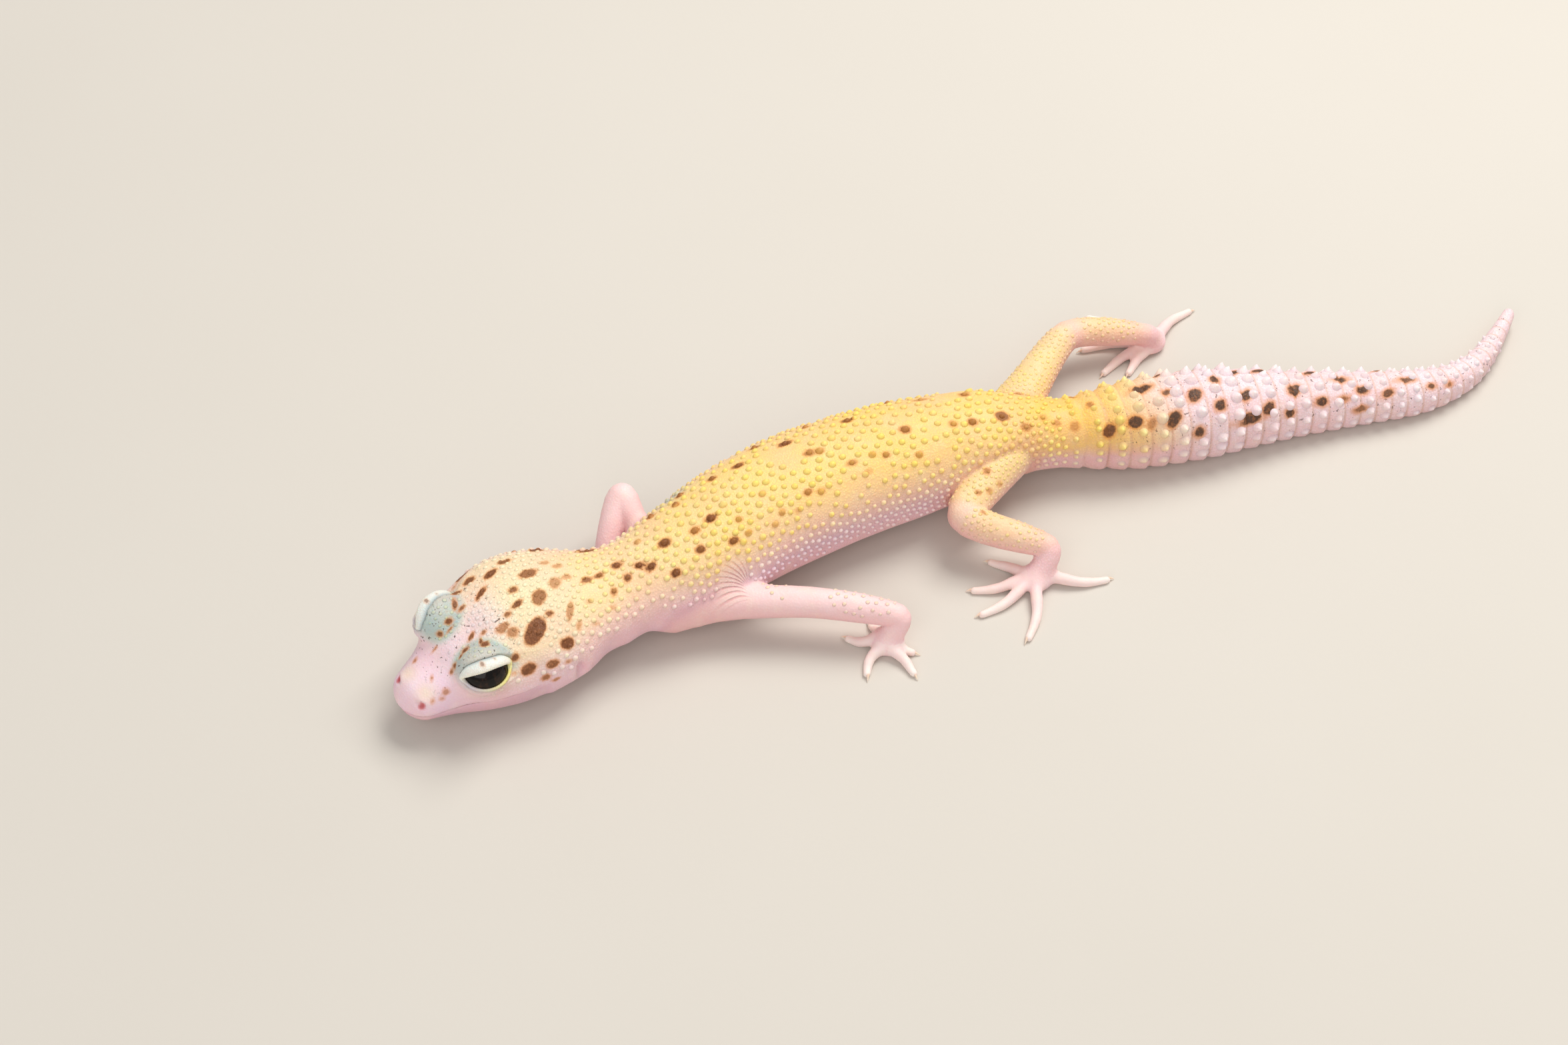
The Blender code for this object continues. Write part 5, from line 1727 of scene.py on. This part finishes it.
def make_eye(word, material):
    """An ellipsoid from rings round its outward axis, so that the gaze lies in its middle."""
    eye = EYES[word]
    arc = np.linspace(0, math.pi, EYE_RINGS)[:, None] * eye.arc
    turn = round_circle(EYE_SIDES)[None, :]
    rings = eye.points(arc * np.cos(turn), arc * np.sin(turn), np.zeros((EYE_RINGS, EYE_SIDES)))
    points, faces = closed_rings(rings)
    mesh = mesh_of(f"{word}_eyeball", points, faces)
    turn_outwards(mesh)
    ahead, up, _ = eye.chart(points)
    paint(mesh, ahead=ahead, up=up)
    return piece(f"{word}_eyeball", mesh, material, "eye", [f"{word}_eye"])


CLAW_LENGTH = 1.0
CLAW_RADIUS = 0.30
CLAW_ROOT = 0.55  # how far a claw goes back into its toe, against its length
CLAW_GAP = 0.3  # between the end of a toe and where its claw begins in the frame
CLAW_LIFT = 0.12  # of its middle line over the toe's
CLAW_TIP_HEIGHT = 0.14
CLAW_OFF_FLOOR = 0.02
CLAW_RINGS = 14
CLAW_SIDES = 12


def claw_rings(limb, toe):
    """A hooked cone ahead of a toe's end: circles round a path that falls with the square of the way along
    it, drawn to a point. Returns them and how far along the claw each is."""
    path = toe_path(limb.pad, *toe, count=6)
    ahead = unit(path[-1] - path[-2])
    start = path[-1] + ahead * CLAW_GAP + (0, 0, CLAW_LIFT)
    u = np.linspace(-CLAW_ROOT, 1, CLAW_RINGS)[:, None]
    fall = np.array([0, 0, start[2] - CLAW_TIP_HEIGHT])
    points = start + ahead * CLAW_LENGTH * u - fall * np.maximum(u, 0) ** 2
    way = unit(np.gradient(points, axis=0))
    side = unit(np.cross(way, (0, 0, 1.0)))
    up = np.cross(side, way)
    radius = CLAW_RADIUS * np.minimum(1, 0.96 - 0.9 * np.maximum(u, -0.2))[:, :, None]
    turn = round_circle(CLAW_SIDES)[None, :, None]
    rings = points[:, None] + radius * (0.8 * np.cos(turn) * side[:, None] + np.sin(turn) * up[:, None])
    rings[:, :, 2] = np.maximum(rings[:, :, 2], CLAW_OFF_FLOOR)
    return rings, np.clip(u[:, 0], 0, 1)


def make_claws(name, limb, toes, material):
    """The claws of one paw as one mesh, in the place of the frame's five."""
    points, faces, along, first = [], [[], []], [], 0
    for toe in toes:
        rings, share = claw_rings(limb, toe)
        new_points, new_faces = closed_rings(rings)
        for group, more in zip(faces, new_faces):
            group.append(more + first)
        points.append(new_points)
        along.append(np.concatenate([np.repeat(share[1:-1], CLAW_SIDES), [0, 1]]))
        first += len(new_points)
    mesh = mesh_of(f"{name}_claws", np.vstack(points), [np.vstack(group) for group in faces])
    turn_outwards(mesh)
    paint(mesh, along=np.concatenate(along))
    nodes = [f"{name}_claw_{number}" for number in range(1, len(toes) + 1)]
    return piece(f"{name}_claws", mesh, material, "claw_horn", nodes)


# ---------------------------------------------------------------- stage


AIM = Vector(placed((0.0, 0.0, 0.0)))
# Azimuth (0 stands on the -Y side), elevation and distance in metres from the middle of the animal.
VIEW = (65.0, 50.0, 0.440)
VIEW_WIDTH = 30.0
# Each light's place, as VIEW's, its side in metres and its colour.
LIGHTS = {
    "key": ((205, 58, 0.75), 0.42, (1.0, 0.97, 0.92)),
    "fill": ((50, 38, 0.9), 0.8, (1.0, 0.98, 0.97)),
}
SKY = (1.0, 0.985, 0.96, 1)
FLOOR_POINTS = 9


def make_floor(sizes, colours):
    """A flat square grid under the animal."""
    span = np.linspace(-sizes.floor / 2, sizes.floor / 2, FLOOR_POINTS)
    x, y = np.meshgrid(span, span, indexing="ij")
    points = np.stack([x, y, np.zeros_like(x)], axis=-1).reshape(-1, 3) / MM - SHIFT
    mesh = mesh_of("floor", points, grid_faces(FLOOR_POINTS, FLOOR_POINTS, wrap_columns=False)[:, ::-1])
    mesh.materials.append(floor_finish(colours))
    floor = bpy.data.objects.new("floor", mesh)
    bpy.context.scene.collection.objects.link(floor)


def stand(obj, azimuth, elevation, distance):
    """Puts a light or the camera at its place, looking at the middle of the animal."""
    a, e = math.radians(azimuth), math.radians(elevation)
    way = Vector((math.sin(a) * math.cos(e), -math.cos(a) * math.cos(e), math.sin(e)))
    obj.location = AIM + way * distance
    obj.rotation_euler = way.to_track_quat("Z", "Y").to_euler()
    bpy.context.scene.collection.objects.link(obj)


def add_light(name, place, side, colour, power):
    """A soft square light of so many watts."""
    light = bpy.data.lights.new(name, "AREA")
    light.size = side
    light.energy = power
    light.color = colour
    stand(bpy.data.objects.new(name, light), *place)


def make_camera():
    """The camera looks at the animal from its left side and a little in front, halfway up the sky."""
    camera = bpy.data.objects.new("camera", bpy.data.cameras.new("camera"))
    stand(camera, *VIEW)
    camera.data.sensor_width = 36
    camera.data.lens = 18 / math.tan(math.radians(VIEW_WIDTH / 2))
    camera.data.clip_start = 0.005
    bpy.context.scene.camera = camera


def make_world(strength):
    """Even light from all round."""
    world = bpy.data.worlds.new("studio")
    world.use_nodes = True
    background = world.node_tree.nodes["Background"]
    background.inputs["Color"].default_value = SKY
    background.inputs["Strength"].default_value = strength
    bpy.context.scene.world = world


# ---------------------------------------------------------------- the add-on


def amount(name, description, default, least=0.0, **more):
    """A number in the panel."""
    return bpy.props.FloatProperty(name=name, description=description, default=default, min=least, **more)


def factor(name, description, least):
    """A number in the panel that makes something more or less than it is at 1."""
    return amount(name, description, 1.0, least, max=2, subtype="FACTOR")


def tint(name, description, red, green, blue):
    """A colour in the panel, given as 0 to 255 screen values."""
    return bpy.props.FloatVectorProperty(
        name=name, description=description, subtype="COLOR_GAMMA", size=3, min=0, max=1,
        default=(red / 255, green / 255, blue / 255),
    )


class GeckoSizes(bpy.types.PropertyGroup):
    scale_width: factor("Scale width", "How wide the scales are, against their own size", 0.3)
    scale_height: factor("Scale height", "How far the scales stand out, against their own size", 0.2)
    floor: amount("Floor", "Side of the floor", 6.0, 0.5, subtype="DISTANCE", unit="LENGTH")
    world: amount("Sky", "Strength of the even light all round", 0.46)
    key: amount("Key light", "Strength of the main light", 4.5, unit="POWER")
    fill: amount("Fill light", "Strength of the light from the front", 2.7, unit="POWER")


class GeckoColours(bpy.types.PropertyGroup):
    blush: tint("Blush", "Pink that shows through thin skin", 240, 180, 172)
    cream: tint("Cream", "Pale mottling", 255, 240, 214)
    seam: tint("Seam", "Between the grains of the skin", 206, 158, 140)
    # Painted shade in the armpit's creases, and painted light on the ridges between them.
    fold: tint("Fold", "The creases over the armpit", 214, 142, 138)
    lit_fold_ridge: tint("Fold top", "The skin between those creases", 250, 218, 206)
    # Painted shade in the groove between two rings of the tail.
    ring_groove_shade: tint("Ring line", "Between two rings of the tail", 214, 164, 132)
    spot: tint("Spot", "Dark spots on head and trunk", 110, 58, 22)
    tail_spot: tint("Tail spot", "Dark spots on the tail", 58, 34, 22)
    spot_edge: tint("Spot edge", "The glow round a spot", 216, 134, 48)
    spot_grain: tint("Spot grain", "Paler grains in a spot", 172, 108, 62)
    # Painted shade in the mouth's groove.
    mouth: tint("Mouth", "The line of the mouth", 150, 92, 96)
    lid_shade: tint("Lid shade", "Soft shade on the lids", 196, 212, 216)
    eye: tint("Eye", "The dark of the eye", 14, 9, 7)
    iris: tint("Iris", "Streaks of the iris", 84, 54, 34)
    eye_rim: tint("Eye rim", "Where the eye goes under the lids", 40, 24, 20)
    claw: tint("Claw", "Claw tips", 248, 232, 214)
    claw_root: tint("Claw root", "Claw roots", 240, 208, 186)
    floor: tint("Floor", "The table top", 214, 209, 201)
    floor_shade: tint("Floor shade", "Its mottling", 204, 198, 188)


class GECKO_OT_skin(bpy.types.Operator):
    """Make the one skin of head, trunk, tail and limbs"""

    bl_idname = "gecko.skin"
    bl_label = "Skin"

    def execute(self, context):
        make_skin(context.scene.gecko_colours)
        return {"FINISHED"}


class GECKO_OT_scales(bpy.types.Operator):
    """Cover the skin with its scales"""

    bl_idname = "gecko.scales"
    bl_label = "Scales"

    def execute(self, context):
        if "skin" not in bpy.data.objects:
            raise RuntimeError("the scales stand on the skin, so the skin is made first")
        make_scales(context.scene.gecko_sizes, context.scene.gecko_colours)
        return {"FINISHED"}


class GECKO_OT_lids(bpy.types.Operator):
    """Make the eyelids"""

    bl_idname = "gecko.lids"
    bl_label = "Eyelids"

    def execute(self, context):
        make_lids(context.scene.gecko_colours)
        return {"FINISHED"}


class GECKO_OT_eyes(bpy.types.Operator):
    """Make both eyeballs"""

    bl_idname = "gecko.eyes"
    bl_label = "Eyes"

    def execute(self, context):
        material = eye_finish(context.scene.gecko_colours)
        for word in EYES:
            make_eye(word, material)
        return {"FINISHED"}


class GECKO_OT_claws(bpy.types.Operator):
    """Make the claws of all four paws"""

    bl_idname = "gecko.claws"
    bl_label = "Claws"

    def execute(self, context):
        material = claw_finish(context.scene.gecko_colours)
        for limb in LIMB_LIST:
            make_claws(limb.name, limb, LIMBS[limb.name]["toes"], material)
        return {"FINISHED"}


class GECKO_OT_stage(bpy.types.Operator):
    """Set up the floor, the light and the camera"""

    bl_idname = "gecko.stage"
    bl_label = "Stage"

    def execute(self, context):
        sizes = context.scene.gecko_sizes
        make_floor(sizes, context.scene.gecko_colours)
        make_world(sizes.world)
        for name, light in LIGHTS.items():
            add_light(name, *light, getattr(sizes, name))
        make_camera()
        context.scene.view_settings.view_transform = "Standard"
        return {"FINISHED"}


OPERATORS = (GECKO_OT_skin, GECKO_OT_scales, GECKO_OT_lids, GECKO_OT_eyes, GECKO_OT_claws, GECKO_OT_stage)


class GECKO_PT_panel(bpy.types.Panel):
    """The settings of sizes and colours, and a button for each step"""

    bl_idname = "GECKO_PT_panel"
    bl_label = "Leopard gecko"
    bl_space_type = "VIEW_3D"
    bl_region_type = "UI"
    bl_category = "Gecko"

    def draw(self, context):
        for settings in (context.scene.gecko_sizes, context.scene.gecko_colours):
            column = self.layout.column()
            for name in settings.__annotations__:
                column.prop(settings, name)
        for operator in OPERATORS:
            self.layout.operator(operator.bl_idname)


CLASSES = (GeckoSizes, GeckoColours, *OPERATORS, GECKO_PT_panel)


def register():
    """Registers the classes and hangs both groups of settings on the scene."""
    for cls in CLASSES:
        bpy.utils.register_class(cls)
    bpy.types.Scene.gecko_sizes = bpy.props.PointerProperty(type=GeckoSizes)
    bpy.types.Scene.gecko_colours = bpy.props.PointerProperty(type=GeckoColours)


def unregister():
    """Undoes register."""
    del bpy.types.Scene.gecko_colours
    del bpy.types.Scene.gecko_sizes
    for cls in reversed(CLASSES):
        bpy.utils.unregister_class(cls)


def main():
    """Makes the animal and its stage."""
    register()
    bpy.ops.gecko.skin()
    bpy.ops.gecko.scales()
    bpy.ops.gecko.lids()
    bpy.ops.gecko.eyes()
    bpy.ops.gecko.claws()
    bpy.ops.gecko.stage()


if __name__ == "__main__":
    main()
